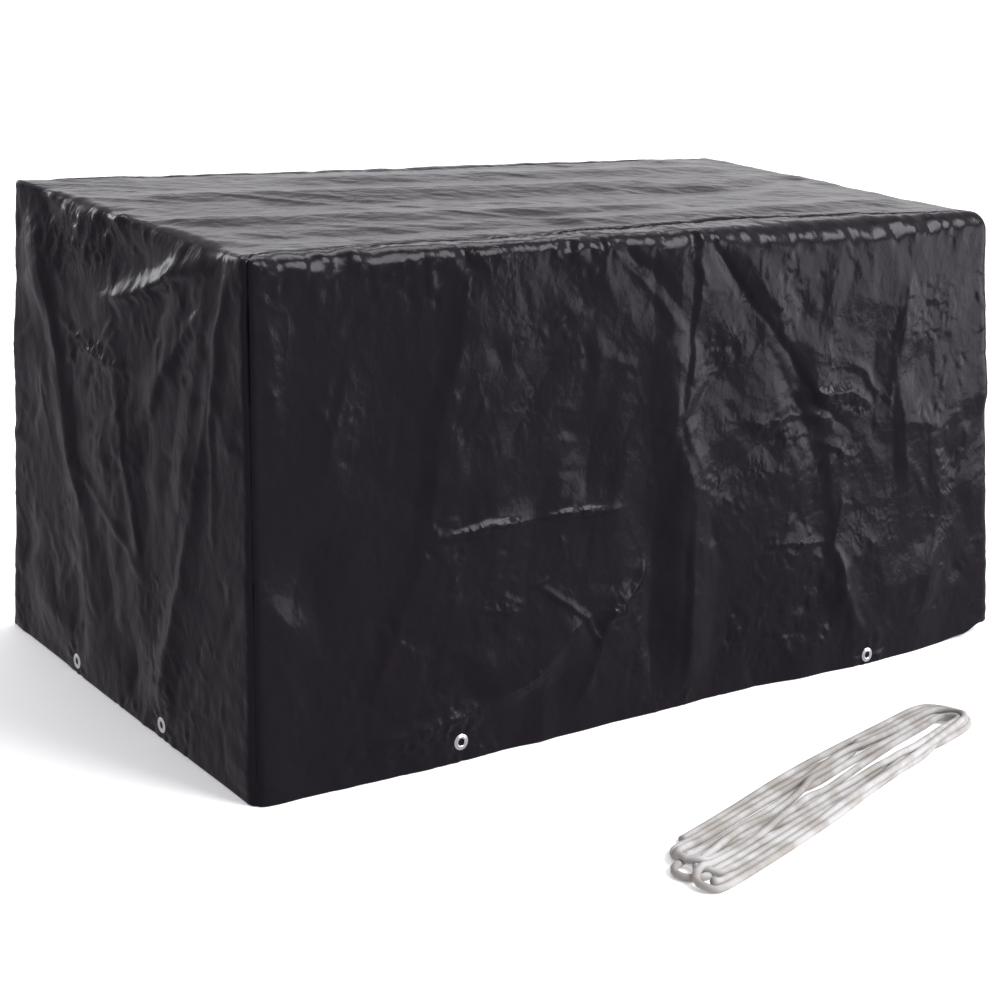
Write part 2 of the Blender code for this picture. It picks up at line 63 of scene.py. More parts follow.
# Each upright corner's (x, y) and radius at the floor and at the top
Corner = namedtuple("Corner", "floor floor_radius top top_radius")
CORNERS = {
    "front_left": Corner((-0.8070, -0.4400), 0.022, (-0.8000, -0.3650), 0.012),
    "front_right": Corner((0.8260, -0.4400), 0.036, (0.7580, -0.3650), 0.034),
    "back_right": Corner((0.8080, 0.4400), 0.032, (0.7560, 0.4190), 0.030),
    "back_left": Corner((-0.8040, 0.4420), 0.010, (-0.8030, 0.4220), 0.010),
}
HEM_THICKNESS = 0.0024
HEM_HEIGHT = 0.050
HEM_FOOT = 0.0006  # height of the strip's outer edge
GAP = 0.0003
CORNER_PULL = 0.00012  # how far a sheet stops short of an upright corner's seam
CORNER_FADE = 0.045  # folds die out this close to an upright corner and to the top edge
TOP_FADE = 0.060  # and the top's wrinkles this close to its edges
SEAM_END = 0.005  # share of a seam on the top over which it runs into its corner

EYELET_BORE = 0.0060
EYELET_BARREL = 0.0071
EYELET_RADIUS = 0.0130
EYELET_ROLL = 0.0022  # half the width of the flange's rolled ring
EYELET_CROWN = 0.0014  # height of that ring over the hem
EYELET_ROLL_DEPTH = 0.0010
EYELET_FLAT = 0.022  # half the width of the flat place that the hem has for an eyelet
EYELET_FLAT_RADIUS = 0.0125  # the cloth that the eyelet grips
EYELET_PUCKER = 0.0012
PUCKER_RADIUS = 0.034

# Each wall's corners in the order of a walk round the cover, and the axis, x or y, that it runs along
Side = namedtuple("Side", "start end axis")
SIDES = {
    "front": Side("front_left", "front_right", 0),
    "right": Side("front_right", "back_right", 1),
    "back": Side("back_right", "back_left", 0),
    "left": Side("back_left", "front_left", 1),
}

Eyelet = namedtuple("Eyelet", "side along height")
EYELETS = {
    "eyelet_front_left": Eyelet("front", -0.442, 0.033),
    "eyelet_front_right": Eyelet("front", 0.461, 0.018),
    "eyelet_right_front": Eyelet("right", -0.147, 0.025),
    "eyelet_right_back": Eyelet("right", 0.168, 0.025),
    "eyelet_back_right": Eyelet("back", 0.461, 0.025),
    "eyelet_back_left": Eyelet("back", -0.442, 0.025),
    "eyelet_left_back": Eyelet("left", 0.168, 0.022),
    "eyelet_left_front": Eyelet("left", -0.147, 0.024),
}

# How round the top edge is along each side: (place along the side, radius)
TOP_EDGE_RADIUS = {
    "front": ((-0.800, 0.008), (-0.737, 0.032), (-0.337, 0.020), (0.070, 0.026), (0.320, 0.042),
              (0.754, 0.030)),
    "right": ((-0.365, 0.030), (0.419, 0.020)),
    "back": ((-0.800, 0.007), (-0.700, 0.018), (0.754, 0.020)),
    "left": ((-0.365, 0.008), (-0.180, 0.034), (0.041, 0.012), (0.161, 0.028), (0.419, 0.007)),
}
# The slow wave of each hem along its wall: (place along the side, how far out)
HEM_WAVE = {
    "front": ((-0.740, 0.002), (-0.500, 0.0075), (-0.200, 0.0037), (0.190, -0.003), (0.305, 0.0043),
              (0.450, 0.0128), (0.560, 0.0094), (0.700, 0.0)),
    "right": ((-0.300, 0.0), (-0.100, 0.007), (0.080, -0.002), (0.240, 0.006), (0.400, 0.0)),
    "back": ((-0.700, 0.0), (-0.420, 0.008), (-0.100, -0.002), (0.240, 0.009), (0.480, 0.001), (0.700, 0.0)),
    "left": ((-0.380, 0.0), (-0.150, 0.002), (0.050, 0.003), (0.300, 0.0)),
}
WAVE_HEIGHT = 0.35  # where that wave has died out
FOLD_FADE = 0.14  # the height over which the folds die out towards the hem
FOLD_SHARPNESS = 0.6  # 0 is a soft wave and 1 is a tent
FOLD_WANDER = 0.007
FOLD_WANDER_CELL = 0.11
FOLD_SHARES = {"front": 0.55, "left": 0.5, "right": 0.8, "back": 0.8}
# The hem lifts off the floor at the rounded front right corner: (place along the side, height)
HEM_LIFT = {
    "front": ((0.660, 0.0), (0.733, 0.005), (0.790, 0.020), (0.826, 0.021)),
    "right": ((-0.440, 0.021), (-0.360, 0.014), (-0.180, 0.0)),
}
# How far in from the rounded top edge the panel's seam lies on the top: (x, distance)
SEAM_INSET = {
    "front": ((-0.80, 0.004), (-0.71, 0.008), (-0.45, 0.032), (0.00, 0.044), (0.18, 0.062), (0.38, 0.034),
              (0.62, 0.010), (0.72, 0.003)),
    "back": ((-0.80, 0.004), (-0.70, 0.012), (0.00, 0.025), (0.65, 0.010), (0.73, 0.003)),
}

# Main folds of each wall: straight ridges (rise > 0) and hollows (rise < 0) between two places
Fold = namedtuple("Fold", "start start_height end end_height half_width rise")
FOLDS = {
    "front": (
        Fold(0.045, 0.800, 0.012, 0.480, 0.060, 0.013),
        Fold(0.015, 0.500, 0.045, 0.380, 0.060, 0.012),
        Fold(0.045, 0.400, 0.035, -0.100, 0.065, 0.014),
        Fold(-0.045, 0.420, -0.045, -0.100, 0.070, -0.013),
        Fold(0.100, 0.800, 0.310, 0.490, 0.050, -0.005),
        Fold(0.310, 0.500, 0.390, 0.250, 0.060, -0.008),
        Fold(0.160, 0.800, 0.370, 0.500, 0.055, 0.006),
        Fold(-0.130, 0.800, 0.020, 0.640, 0.045, -0.005),
        Fold(-0.190, 0.780, -0.020, 0.600, 0.055, 0.005),
        Fold(-0.230, 0.170, -0.640, 0.000, 0.060, 0.010),
        Fold(-0.250, 0.080, -0.360, 0.010, 0.055, -0.009),
        Fold(-0.150, 0.190, -0.210, -0.060, 0.060, 0.008),
        Fold(0.380, 0.380, 0.400, 0.140, 0.055, 0.010),
        Fold(0.395, 0.160, 0.480, -0.060, 0.050, 0.009),
        Fold(0.560, 0.760, 0.600, 0.050, 0.110, 0.007),
        Fold(-0.500, 0.366, -0.120, 0.368, 0.040, 0.005),
        Fold(-0.560, 0.760, -0.600, 0.150, 0.160, -0.006),
        Fold(-0.330, 0.700, -0.380, 0.200, 0.140, 0.006),
    ),
    "left": (
        Fold(-0.310, 0.790, -0.235, 0.430, 0.050, 0.012),
        Fold(-0.235, 0.450, -0.110, -0.050, 0.055, 0.012),
        Fold(0.360, 0.700, 0.180, 0.370, 0.060, 0.010),
        Fold(0.180, 0.390, 0.100, 0.050, 0.070, 0.008),
        Fold(0.080, 0.650, -0.270, 0.765, 0.035, 0.010),
        Fold(-0.220, 0.690, -0.070, 0.490, 0.045, 0.008),
        Fold(0.020, 0.560, -0.085, 0.180, 0.060, 0.007),
        Fold(0.260, 0.790, 0.280, 0.560, 0.060, -0.007),
    ),
    "right": (
        Fold(-0.150, 0.780, -0.210, -0.060, 0.080, 0.010),
        Fold(0.090, 0.790, 0.020, 0.240, 0.070, -0.009),
        Fold(0.250, 0.700, 0.280, -0.060, 0.085, 0.011),
        Fold(0.060, 0.300, 0.110, -0.060, 0.080, 0.008),
    ),
    "back": (
        Fold(-0.520, 0.780, -0.560, -0.060, 0.120, 0.011),
        Fold(-0.220, 0.790, -0.140, 0.250, 0.100, -0.010),
        Fold(0.080, 0.780, 0.120, -0.060, 0.110, 0.012),
        Fold(0.400, 0.790, 0.330, 0.180, 0.100, -0.009),
        Fold(0.560, 0.600, 0.600, -0.060, 0.110, 0.009),
    ),
}
# Main wrinkles of the top, in (x, y)
TOP_WRINKLES = (
    Fold(-0.740, -0.050, 0.150, -0.130, 0.060, 0.005),
    Fold(-0.650, 0.180, 0.300, 0.120, 0.065, 0.005),
    Fold(-0.500, 0.060, 0.500, 0.010, 0.055, -0.004),
    Fold(-0.300, 0.300, 0.600, 0.260, 0.070, 0.005),
    Fold(-0.100, -0.220, 0.650, -0.190, 0.060, 0.005),
    Fold(-0.700, -0.220, -0.150, -0.240, 0.050, -0.004),
    Fold(0.050, -0.060, 0.680, 0.090, 0.060, -0.004),
)

# --- the finer creases, that only the dressed sheets have --------------------------------------------------

# A crease runs through its places, written upwards or from left to right. left and right are how far its
# flanks reach on both sides, seen along the way; a negative rise is a groove.
Crease = namedtuple("Crease", "way left right rise")
CREASE_FLANK = 1.20  # 1 makes flat flanks, and more makes the crest sharper than the feet
CREASE_TAPER = 0.14  # the share of its way in which a crease rises
CREASES = {
    "front": (
        Crease(((0.406, 0.435), (0.313, 0.500), (0.251, 0.590), (0.176, 0.660), (0.142, 0.699),
                (0.060, 0.790)), 0.020, 0.010, -0.0048),
        Crease(((0.024, 0.649), (-0.054, 0.732), (-0.146, 0.801)), 0.012, 0.022, -0.0045),
        Crease(((0.008, 0.640), (-0.070, 0.722), (-0.160, 0.793)), 0.035, 0.010, 0.0030),
        Crease(((0.061, 0.390), (0.023, 0.454), (0.011, 0.499), (0.030, 0.591), (0.038, 0.691),
                (0.043, 0.799)), 0.012, 0.060, 0.0050),
        Crease(((0.028, 0.030), (0.036, 0.253), (0.039, 0.379)), 0.014, 0.060, 0.0050),
        Crease(((-0.047, 0.060), (-0.045, 0.330)), 0.020, 0.050, -0.0040),
        Crease(((-0.489, 0.362), (-0.465, 0.359), (-0.388, 0.369), (-0.299, 0.366)), 0.015, 0.008, 0.0066),
        Crease(((-0.285, 0.369), (-0.229, 0.367), (-0.188, 0.366), (-0.110, 0.361)), 0.011, 0.007, 0.0048),
        Crease(((-0.304, 0.257), (-0.266, 0.268)), 0.007, 0.006, 0.0026),
        Crease(((-0.284, 0.256), (-0.212, 0.210), (-0.187, 0.189), (-0.159, 0.139)), 0.009, 0.007, 0.0036),
        Crease(((-0.411, 0.242), (-0.372, 0.229), (-0.321, 0.219)), 0.007, 0.006, 0.0028),
        Crease(((-0.363, 0.252), (-0.335, 0.238), (-0.313, 0.233)), 0.007, 0.006, 0.0026),
        Crease(((-0.156, 0.176), (-0.120, 0.196), (-0.076, 0.231), (-0.065, 0.261)), 0.018, 0.012, 0.0076),
        Crease(((-0.150, 0.197), (-0.100, 0.184)), 0.010, 0.007, 0.0044),
        Crease(((-0.629, 0.055), (-0.552, 0.062), (-0.476, 0.068), (-0.403, 0.086), (-0.305, 0.114),
                (-0.265, 0.144)), 0.022, 0.026, 0.0066),
        Crease(((-0.395, 0.085), (-0.300, 0.140), (-0.235, 0.170), (-0.185, 0.195)), 0.050, 0.060, 0.0065),
        Crease(((0.144, 0.480), (0.210, 0.460), (0.256, 0.480), (0.353, 0.462)), 0.018, 0.020, 0.0060),
        Crease(((0.279, 0.515), (0.340, 0.505), (0.401, 0.507), (0.453, 0.484)), 0.014, 0.016, 0.0054),
        Crease(((0.393, 0.561), (0.440, 0.535), (0.478, 0.491)), 0.012, 0.014, 0.0038),
        Crease(((0.330, 0.420), (0.370, 0.410), (0.409, 0.381)), 0.012, 0.012, 0.0036),
        Crease(((0.207, 0.251), (0.260, 0.253), (0.306, 0.241), (0.353, 0.242)), 0.007, 0.006, 0.0028),
        Crease(((0.455, 0.052), (0.437, 0.080), (0.407, 0.140), (0.371, 0.234), (0.397, 0.323)),
               0.026, 0.014, 0.0045),
        Crease(((-0.205, 0.052), (-0.161, 0.127), (-0.140, 0.180)), 0.016, 0.070, 0.0045),
        Crease(((-0.620, 0.100), (-0.560, 0.220), (-0.497, 0.360), (-0.480, 0.520), (-0.445, 0.640),
                (-0.420, 0.780)), 0.030, 0.150, 0.0090),
        Crease(((0.560, 0.300), (0.520, 0.520), (0.545, 0.740)), 0.026, 0.060, 0.0045),
        Crease(((0.600, 0.060), (0.650, 0.260), (0.620, 0.480)), 0.030, 0.080, 0.0045),
    ),
    "left": (
        Crease(((0.118, 0.252), (0.188, 0.379), (0.248, 0.541), (0.296, 0.650), (0.340, 0.740)),
               0.030, 0.040, 0.0060),
        Crease(((-0.019, 0.570), (0.060, 0.562), (0.123, 0.568), (0.157, 0.576), (0.237, 0.599)),
               0.014, 0.012, 0.0050),
        Crease(((0.112, 0.565), (0.087, 0.585), (0.035, 0.634)), 0.012, 0.010, 0.0040),
        Crease(((-0.079, 0.506), (-0.132, 0.585), (-0.187, 0.647), (-0.222, 0.681)), 0.012, 0.030, 0.0056),
        Crease(((-0.263, 0.769), (-0.164, 0.742), (-0.046, 0.694), (0.057, 0.665)), 0.026, 0.012, 0.0090),
        Crease(((-0.070, 0.258), (-0.013, 0.411), (0.021, 0.521)), 0.012, 0.026, 0.0036),
        Crease(((-0.070, 0.246), (0.026, 0.299), (0.165, 0.364)), 0.020, 0.014, 0.0036),
        Crease(((-0.289, 0.376), (-0.284, 0.546), (-0.296, 0.657), (-0.314, 0.761)), 0.016, 0.012, 0.0040),
        Crease(((-0.136, 0.034), (-0.203, 0.287), (-0.251, 0.473), (-0.305, 0.755)), 0.045, 0.030, 0.0075),
        Crease(((0.084, 0.745), (0.032, 0.802)), 0.014, 0.014, 0.0040),
        Crease(((0.200, 0.700), (0.150, 0.780)), 0.014, 0.020, 0.0050),
    ),
}

# Patches of fine crinkles on the walls: middle, half sizes along and up, turn in degrees, and depth
Patch = namedtuple("Patch", "place height half_length half_height turn depth")
PATCHES = {
    "front": (
        Patch(-0.395, 0.366, 0.105, 0.010, 2, 1.0),
        Patch(-0.200, 0.369, 0.070, 0.008, -4, 0.9),
        Patch(-0.115, 0.205, 0.050, 0.030, 35, 1.0),
        Patch(-0.165, 0.165, 0.030, 0.014, -60, 0.9),
        Patch(-0.490, 0.052, 0.150, 0.034, 10, 1.0),
        Patch(-0.300, 0.112, 0.060, 0.012, 30, 0.8),
        Patch(0.235, 0.452, 0.110, 0.030, -14, 0.8),
        Patch(0.385, 0.490, 0.090, 0.030, -18, 0.9),
        Patch(0.400, 0.390, 0.050, 0.030, -30, 0.7),
        Patch(0.290, 0.247, 0.080, 0.007, -4, 0.7),
        Patch(-0.360, 0.235, 0.060, 0.014, -14, 0.7),
        Patch(0.100, 0.600, 0.060, 0.070, -50, 0.5),
        Patch(0.250, 0.700, 0.040, 0.060, 60, 0.5),
        Patch(0.600, 0.640, 0.110, 0.090, 0, 0.45),
        Patch(0.080, 0.370, 0.040, 0.050, 50, 0.5),
    ),
    "left": (
        Patch(0.190, 0.735, 0.220, 0.070, -6, 0.8),
        Patch(0.110, 0.575, 0.130, 0.022, 8, 0.8),
        Patch(-0.090, 0.705, 0.150, 0.018, -20, 0.8),
        Patch(-0.120, 0.100, 0.120, 0.060, 20, 0.4),
    ),
}

# --- the tie rope's own sizes, as in its solid -------------------------------------------------------------

HANK_LEFT_END = Vector((-0.405, -0.925, 0.0))
HANK_RIGHT_END = Vector((0.428, -0.708, 0.0))
ROPE_SPACING = 0.009  # from point to point along the rope
ROPE_LEVEL = 1.15  # diameters between the levels from which the turns fall
ROPE_GIVE = np.array((0.5, 0.5, 1.5))  # touching turns slide apart less than they lift
ROPE_BEND_REACH = 4  # points over which its height is evened
ROPE_WANDER = 0.006  # how far a run strays from its straight way
ROPE_SEED = 7
STRANDS_PER_METRE = 200.0
STRANDS_ROUND = 10.0
ROPE_BELLY = 0.16  # how much wider the hank is in its middle
# The bights at the hank's left end, from the rope's first end to its last: how far each stops short of the
# hank's end, how far aside its middle lies and half its width
Bight = namedtuple("Bight", "short aside half")
BIGHTS = (
    Bight(0.100, 0.062, 0.0),
    Bight(0.046, 0.034, 0.0230),
    Bight(0.000, 0.003, 0.0230),
    Bight(0.030, -0.014, 0.0225),
    Bight(-0.006, -0.037, 0.0230),
    Bight(0.036, 0.022, 0.0235),
    Bight(0.004, -0.050, 0.0),
)
# The wider loops at its right end, one between two bights
Loop = namedtuple("Loop", "short aside half")
LOOPS = (
    Loop(0.002, 0.018, 0.049),
    Loop(0.026, 0.008, 0.032),
    Loop(0.040, 0.004, 0.024),
    Loop(0.012, 0.014, 0.041),
    Loop(0.046, -0.006, 0.026),
    Loop(0.030, 0.002, 0.033),
)

# --- the camera, from the photograph's vanishing lines -----------------------------------------------------

CAMERA_PLACE = (-2.15895, -2.7657, 1.2921)
CAMERA_YAW = 0.6497
CAMERA_PITCH = 0.2899
CAMERA_ROLL = 0.0606
LENS_MM = 72.0
SENSOR_MM = 36.0

# --- the soft lights, each a rectangle that faces a place on the cover -------------------------------------

KEY_PLACE = (0.50, -0.50, 0.70)  # the way to the key light, which is a sun
SoftLight = namedtuple("SoftLight", "name power place aim width height")
SOFT_LIGHTS = (
    SoftLight("back", "back_power", (4.8, 7.4, 2.2), (0.0, 0.0, 0.8), 8.0, 3.0),
    SoftLight("window", "window_power", (4.0, -2.6, 0.9), (0.0, 0.0, 0.5), 3.2, 1.8),
    SoftLight("rim", "rim_power", (-1.2, 6.0, 1.6), (-0.8, 0.0, 0.5), 1.6, 2.6),
    SoftLight("overhead", "overhead_power", (0.6, 1.8, 4.2), (0.0, -0.2, 0.8), 4.5, 2.2),
)


# --- settings a user would change --------------------------------------------------------------------------

class CoverSettings(PropertyGroup):
    cell: FloatProperty(
        name="Cell", description="Spacing of the sheets' points", default=0.0042,
        min=0.003, unit="LENGTH")
    crease_depth: FloatProperty(
        name="Crease depth", description="Depth of the placed creases, as a share of their own",
        default=1.0, subtype="FACTOR")
    crumple_depth: FloatProperty(
        name="Crumple depth", description="Depth of the small creases all over the sheet", default=1.0,
        subtype="FACTOR")
    pucker_rise: FloatProperty(
        name="Pucker rise", description="Height of the puckers along the seams", default=0.0020,
        unit="LENGTH")
    sheet_colour: FloatVectorProperty(
        name="Sheet colour", description="Colour of the woven plastic sheet", subtype="COLOR",
        default=(0.0082, 0.0067, 0.0093))
    sheet_roughness: FloatProperty(
        name="Sheet roughness", description="Roughness of the sheet's gloss", default=0.23,
        subtype="FACTOR")
    metal_colour: FloatVectorProperty(
        name="Eyelet colour", description="Colour of the plated eyelets", subtype="COLOR",
        default=(0.80, 0.80, 0.82))


class RopeSettings(PropertyGroup):
    diameter: FloatProperty(
        name="Diameter", description="Thickness of the tie rope", default=0.0115, unit="LENGTH")
    sides: IntProperty(
        name="Sides", description="Points round the rope", default=12, min=6)
    colour: FloatVectorProperty(
        name="Rope colour", description="Colour of the braided rope", subtype="COLOR",
        default=(0.47, 0.46, 0.46))
    dull_colour: FloatVectorProperty(
        name="Dull colour", description="Colour of the rope's duller stretches", subtype="COLOR",
        default=(0.31, 0.29, 0.27))


class StudioSettings(PropertyGroup):
    floor_radius: FloatProperty(
        name="Floor radius", description="Half the width of the floor", default=60.0, unit="LENGTH")
    floor_colour: FloatVectorProperty(
        name="Floor colour", description="Colour of the pale floor", subtype="COLOR",
        default=(0.90, 0.90, 0.90))
    floor_glow: FloatProperty(
        name="Floor glow", description="Light that the floor gives off, like a light table", default=0.25)
    sky_strength: FloatProperty(
        name="Sky strength", description="Strength of the even light from all round", default=0.46)
    key_strength: FloatProperty(
        name="Key light", description="Strength of the soft light from the front right", default=4.0)
    key_angle: FloatProperty(
        name="Key softness", description="How wide the key light looks", default=math.radians(34),
        subtype="ANGLE")
    back_power: FloatProperty(
        name="Back light", description="Power of the wide soft light behind the cover", default=50.0,
        unit="POWER")
    overhead_power: FloatProperty(
        name="Overhead light", description="Power of the wide soft light above the cover", default=150.0,
        unit="POWER")
    rim_power: FloatProperty(
        name="Rim light", description="Power of the tall soft light behind the left wall", default=50.0,
        unit="POWER")
    window_power: FloatProperty(
        name="Window light", description="Power of the wide soft light at the front right", default=58.0,
        unit="POWER")


# --- small helpers -----------------------------------------------------------------------------------------

def ease(value):
    value = np.clip(value, 0.0, 1.0)
    return value * value * (3 - 2 * value)


def read_table(rows, place):
    """The second column at these places in the first, eased from row to row."""
    place = np.asarray(place, float)
    found = np.full(place.shape, rows[0][1])
    for (a, first), (b, second) in zip(rows, rows[1:]):
        found = np.where(place > a, first + (second - first) * ease((place - a) / (b - a)), found)
    return found


def cloud(points, cell, seed):
    """Soft noise from -1 to 1 that changes over about one cell, or a size for each axis. Each use of it
    has a seed of its own."""
    scaled = np.asarray(points, float) / cell
    low = np.floor(scaled)
    part = ease(scaled - low)
    low = low.astype(np.int64)
    total = np.zeros(scaled.shape[:-1])
    for corner in range(8):
        step = np.array([corner >> axis & 1 for axis in range(3)])
        mixed = (low + step) @ np.array([73856093, 19349663, 83492791]) + seed * 1013904223
        mixed = (mixed ^ (mixed >> 13)) * 1274126177 & 0xFFFFFFFF
        mixed = (mixed ^ (mixed >> 16)) & 0xFFFF
        weight = np.where(step, part, 1 - part).prod(-1)
        total += weight * (mixed / 32767.5 - 1)
    return total


def link(piece):
    bpy.context.scene.collection.objects.link(piece)
    return piece


def lay_grid(name, points, uv, outwards):
    """A sheet whose rows and columns of points lie at these places, with its cut shape as its UV map."""
    rows, columns = points.shape[:2]
    grid = bmesh.new()
    grid.loops.layers.uv.new("cut")
    bmesh.ops.create_grid(grid, x_segments=columns - 1, y_segments=rows - 1, size=0.5)
    mesh = bpy.data.meshes.new(name)
    grid.to_mesh(mesh)
    grid.free()
    flat = np.empty(len(mesh.vertices) * 3, np.float32)
    mesh.vertices.foreach_get("co", flat)
    flat = flat.reshape(-1, 3)
    column = np.rint((flat[:, 0] + 0.5) * (columns - 1)).astype(int)
    row = np.rint((flat[:, 1] + 0.5) * (rows - 1)).astype(int)
    mesh.vertices.foreach_set("co", points[row, column].astype(np.float32).ravel())
    corner = np.empty(len(mesh.loops), np.int32)
    mesh.loops.foreach_get("vertex_index", corner)
    mesh.uv_layers["cut"].data.foreach_set("uv", uv[row, column][corner].astype(np.float32).ravel())
    mesh.update()
    middle = mesh.polygons[len(mesh.polygons) // 2]
    if middle.normal.dot(Vector(outwards)) < 0:
        mesh.flip_normals()
    mesh.shade_smooth()
    return link(bpy.data.objects.new(name, mesh)), (row, column)


def add_attribute(piece, name, values):
    layer = piece.data.attributes.new(name, "FLOAT", "POINT")
    layer.data.foreach_set("value", values.astype(np.float32))


def surface_normals(points, outwards):
    """Normals of a grid of points, on the side that outwards points to."""
    down = np.gradient(points, axis=0)
    across = np.gradient(points, axis=1)
    normal = np.cross(across, down)
    normal /= np.maximum(np.linalg.norm(normal, axis=-1, keepdims=True), 1e-9)
    middle = normal[normal.shape[0] // 2, normal.shape[1] // 2]
    return normal if middle @ np.asarray(outwards) > 0 else -normal


# --- the smooth surface that the cloth follows -------------------------------------------------------------

def corner_line(corner):
    made = CORNERS[corner]
    return np.array(made.floor), np.array(made.top)


def side_length(side):
    wall = SIDES[side]
    return float(np.linalg.norm(corner_line(wall.end)[0] - corner_line(wall.start)[0]))


def corner_share(side, corner):
    """The part of a side's walk, from seam to seam, that goes round half of this corner."""
    return CORNERS[corner].floor_radius * math.pi / 4 / side_length(side)


def plan_points(side, share, height, inset=0.0):
    """(x, y) and the outward (x, y) at shares of the walk along a wall, moved in by inset."""
    share, height, inset = np.broadcast_arrays(np.asarray(share, float), height, inset)
    wall = SIDES[side]
    up = (height / HEIGHT)[..., None]
    ends = []
    radii = []
    for corner in (wall.start, wall.end):
        floor, top = corner_line(corner)
        made = CORNERS[corner]
        ends.append(floor + (top - floor) * up)
        radii.append((made.floor_radius + (made.top_radius - made.floor_radius) * up) - inset[..., None])
    along = ends[1] - ends[0]
    along = along / np.linalg.norm(along, axis=-1, keepdims=True)
    out = np.stack((along[..., 1], -along[..., 0]), -1)
    start = ends[0] + (along - out) * inset[..., None]
    end = ends[1] - (along + out) * inset[..., None]
    first, last = (corner_share(side, corner) for corner in (wall.start, wall.end))

    turn = (math.pi / 4 * (1 + np.clip(share / first, 0, 1)))[..., None]
    start_normal = -along * np.cos(turn) + out * np.sin(turn)
    start_point = start + (along - out + start_normal) * radii[0]
    turn = (math.pi / 4 * (1 + np.clip((1 - share) / last, 0, 1)))[..., None]
    end_normal = along * np.cos(turn) + out * np.sin(turn)
    end_point = end + (end_normal - along - out) * radii[1]
    straight = np.clip((share - first) / (1 - first - last), 0, 1)[..., None]
    middle = (start + along * radii[0]) * (1 - straight) + (end - along * radii[1]) * straight

    at_start, at_end = (share < first)[..., None], (share > 1 - last)[..., None]
    point = np.where(at_start, start_point, np.where(at_end, end_point, middle))
    normal = np.where(at_start, start_normal, np.where(at_end, end_normal, out))
    return point, normal


def place_at(side, share, height=0.0):
    """The x or y of a wall at shares of its walk."""
    return plan_points(side, share, height)[0][..., SIDES[side].axis]


def share_at(side, place):
    """The share of the walk at which a wall reaches this x or y on its straight stretch."""
    wall = SIDES[side]
    first, last = (corner_share(side, corner) for corner in (wall.start, wall.end))
    start, end = place_at(side, np.array((first, 1 - last)))
    return first + (1 - first - last) * (place - start) / (end - start)


def fold_rise(folds, place, height, steady=0.0):
    """The folds' rise. Their lines wander a little, but not where steady is 1."""
    place, height = np.broadcast_arrays(place, height)
    wander = cloud(np.stack((place, height, 0 * height), -1), FOLD_WANDER_CELL, 3)
    place = place + FOLD_WANDER * wander * (1 - steady)
    total = np.zeros(place.shape)
    for fold in folds:
        line = np.array((fold.end - fold.start, fold.end_height - fold.start_height))
        length = np.linalg.norm(line)
        line = line / length
        aside, above = place - fold.start, height - fold.start_height
        across = aside * line[1] - above * line[0]
        along = aside * line[0] + above * line[1]
        beyond = np.maximum(np.maximum(-along, along - length), 0.0)
        reach = np.minimum(np.hypot(across, beyond) / fold.half_width, 1.0)
        soft = 0.5 + 0.5 * np.cos(math.pi * reach)
        total += fold.rise * (soft + (1 - reach - soft) * FOLD_SHARPNESS)
    return total


def wall_rise(side, share, height):
    """How far the folds and the hem's wave lift the cloth off the smooth wall."""
    low = 1 - ease((height - HEM_HEIGHT) / (2 * HEM_HEIGHT))
    place = place_at(side, share)
    for eyelet in EYELETS.values():
        if eyelet.side == side:
            off = np.abs(place - eyelet.along)
            near = 1 - ease((off - EYELET_FLAT - GAP) / EYELET_FLAT)
            place = place + (eyelet.along - place) * low * near
    from_corner = np.minimum(share, 1 - share) * side_length(side)
    fade = ease(from_corner / CORNER_FADE) * ease((HEIGHT - height) / CORNER_FADE) * ease(height / FOLD_FADE)
    wave = read_table(HEM_WAVE[side], place) * (1 - ease(height / WAVE_HEIGHT))
    folds = fold_rise(FOLDS[side], place, height, 1 - ease(height / FOLD_FADE))
    return fade * folds * FOLD_SHARES[side] + wave * ease(from_corner / CORNER_FADE)


def hem_lift(side, share):
    if side not in HEM_LIFT:
        return np.zeros(np.shape(share))
    return read_table(HEM_LIFT[side], place_at(side, share))


def top_rise(x, y):
    near, far = CORNERS["front_left"].top, CORNERS["back_right"].top
    edge = np.minimum(np.minimum(x - near[0], far[0] - x), np.minimum(y - near[1], far[1] - y))
    return ease(edge / TOP_FADE) * fold_rise(TOP_WRINKLES, x, y)


def edge_radius(side, share):
    return read_table(TOP_EDGE_RADIUS[side], place_at(side, share, HEIGHT))


def wall_surface(side, share, height):
    share, height = np.broadcast_arrays(share, height)
    point, normal = plan_points(side, share, height)
    point = point + normal * wall_rise(side, share, height)[..., None]
    return np.concatenate((point, height[..., None]), -1)


def edge_surface(side, share, turn):
    """The cloth's way over the top edge: turn 0 is the wall's end and turn 1 is level."""
    share, turn = np.broadcast_arrays(np.asarray(share, float), turn)
    radius = edge_radius(side, share)
    angle = turn * math.pi / 2
    height = HEIGHT - radius * (1 - np.sin(angle))
    point, normal = plan_points(side, share, height, radius * (1 - np.cos(angle)))
    point = point + normal * (wall_rise(side, share, height) * np.cos(angle))[..., None]
    return np.concatenate((point, height[..., None]), -1)


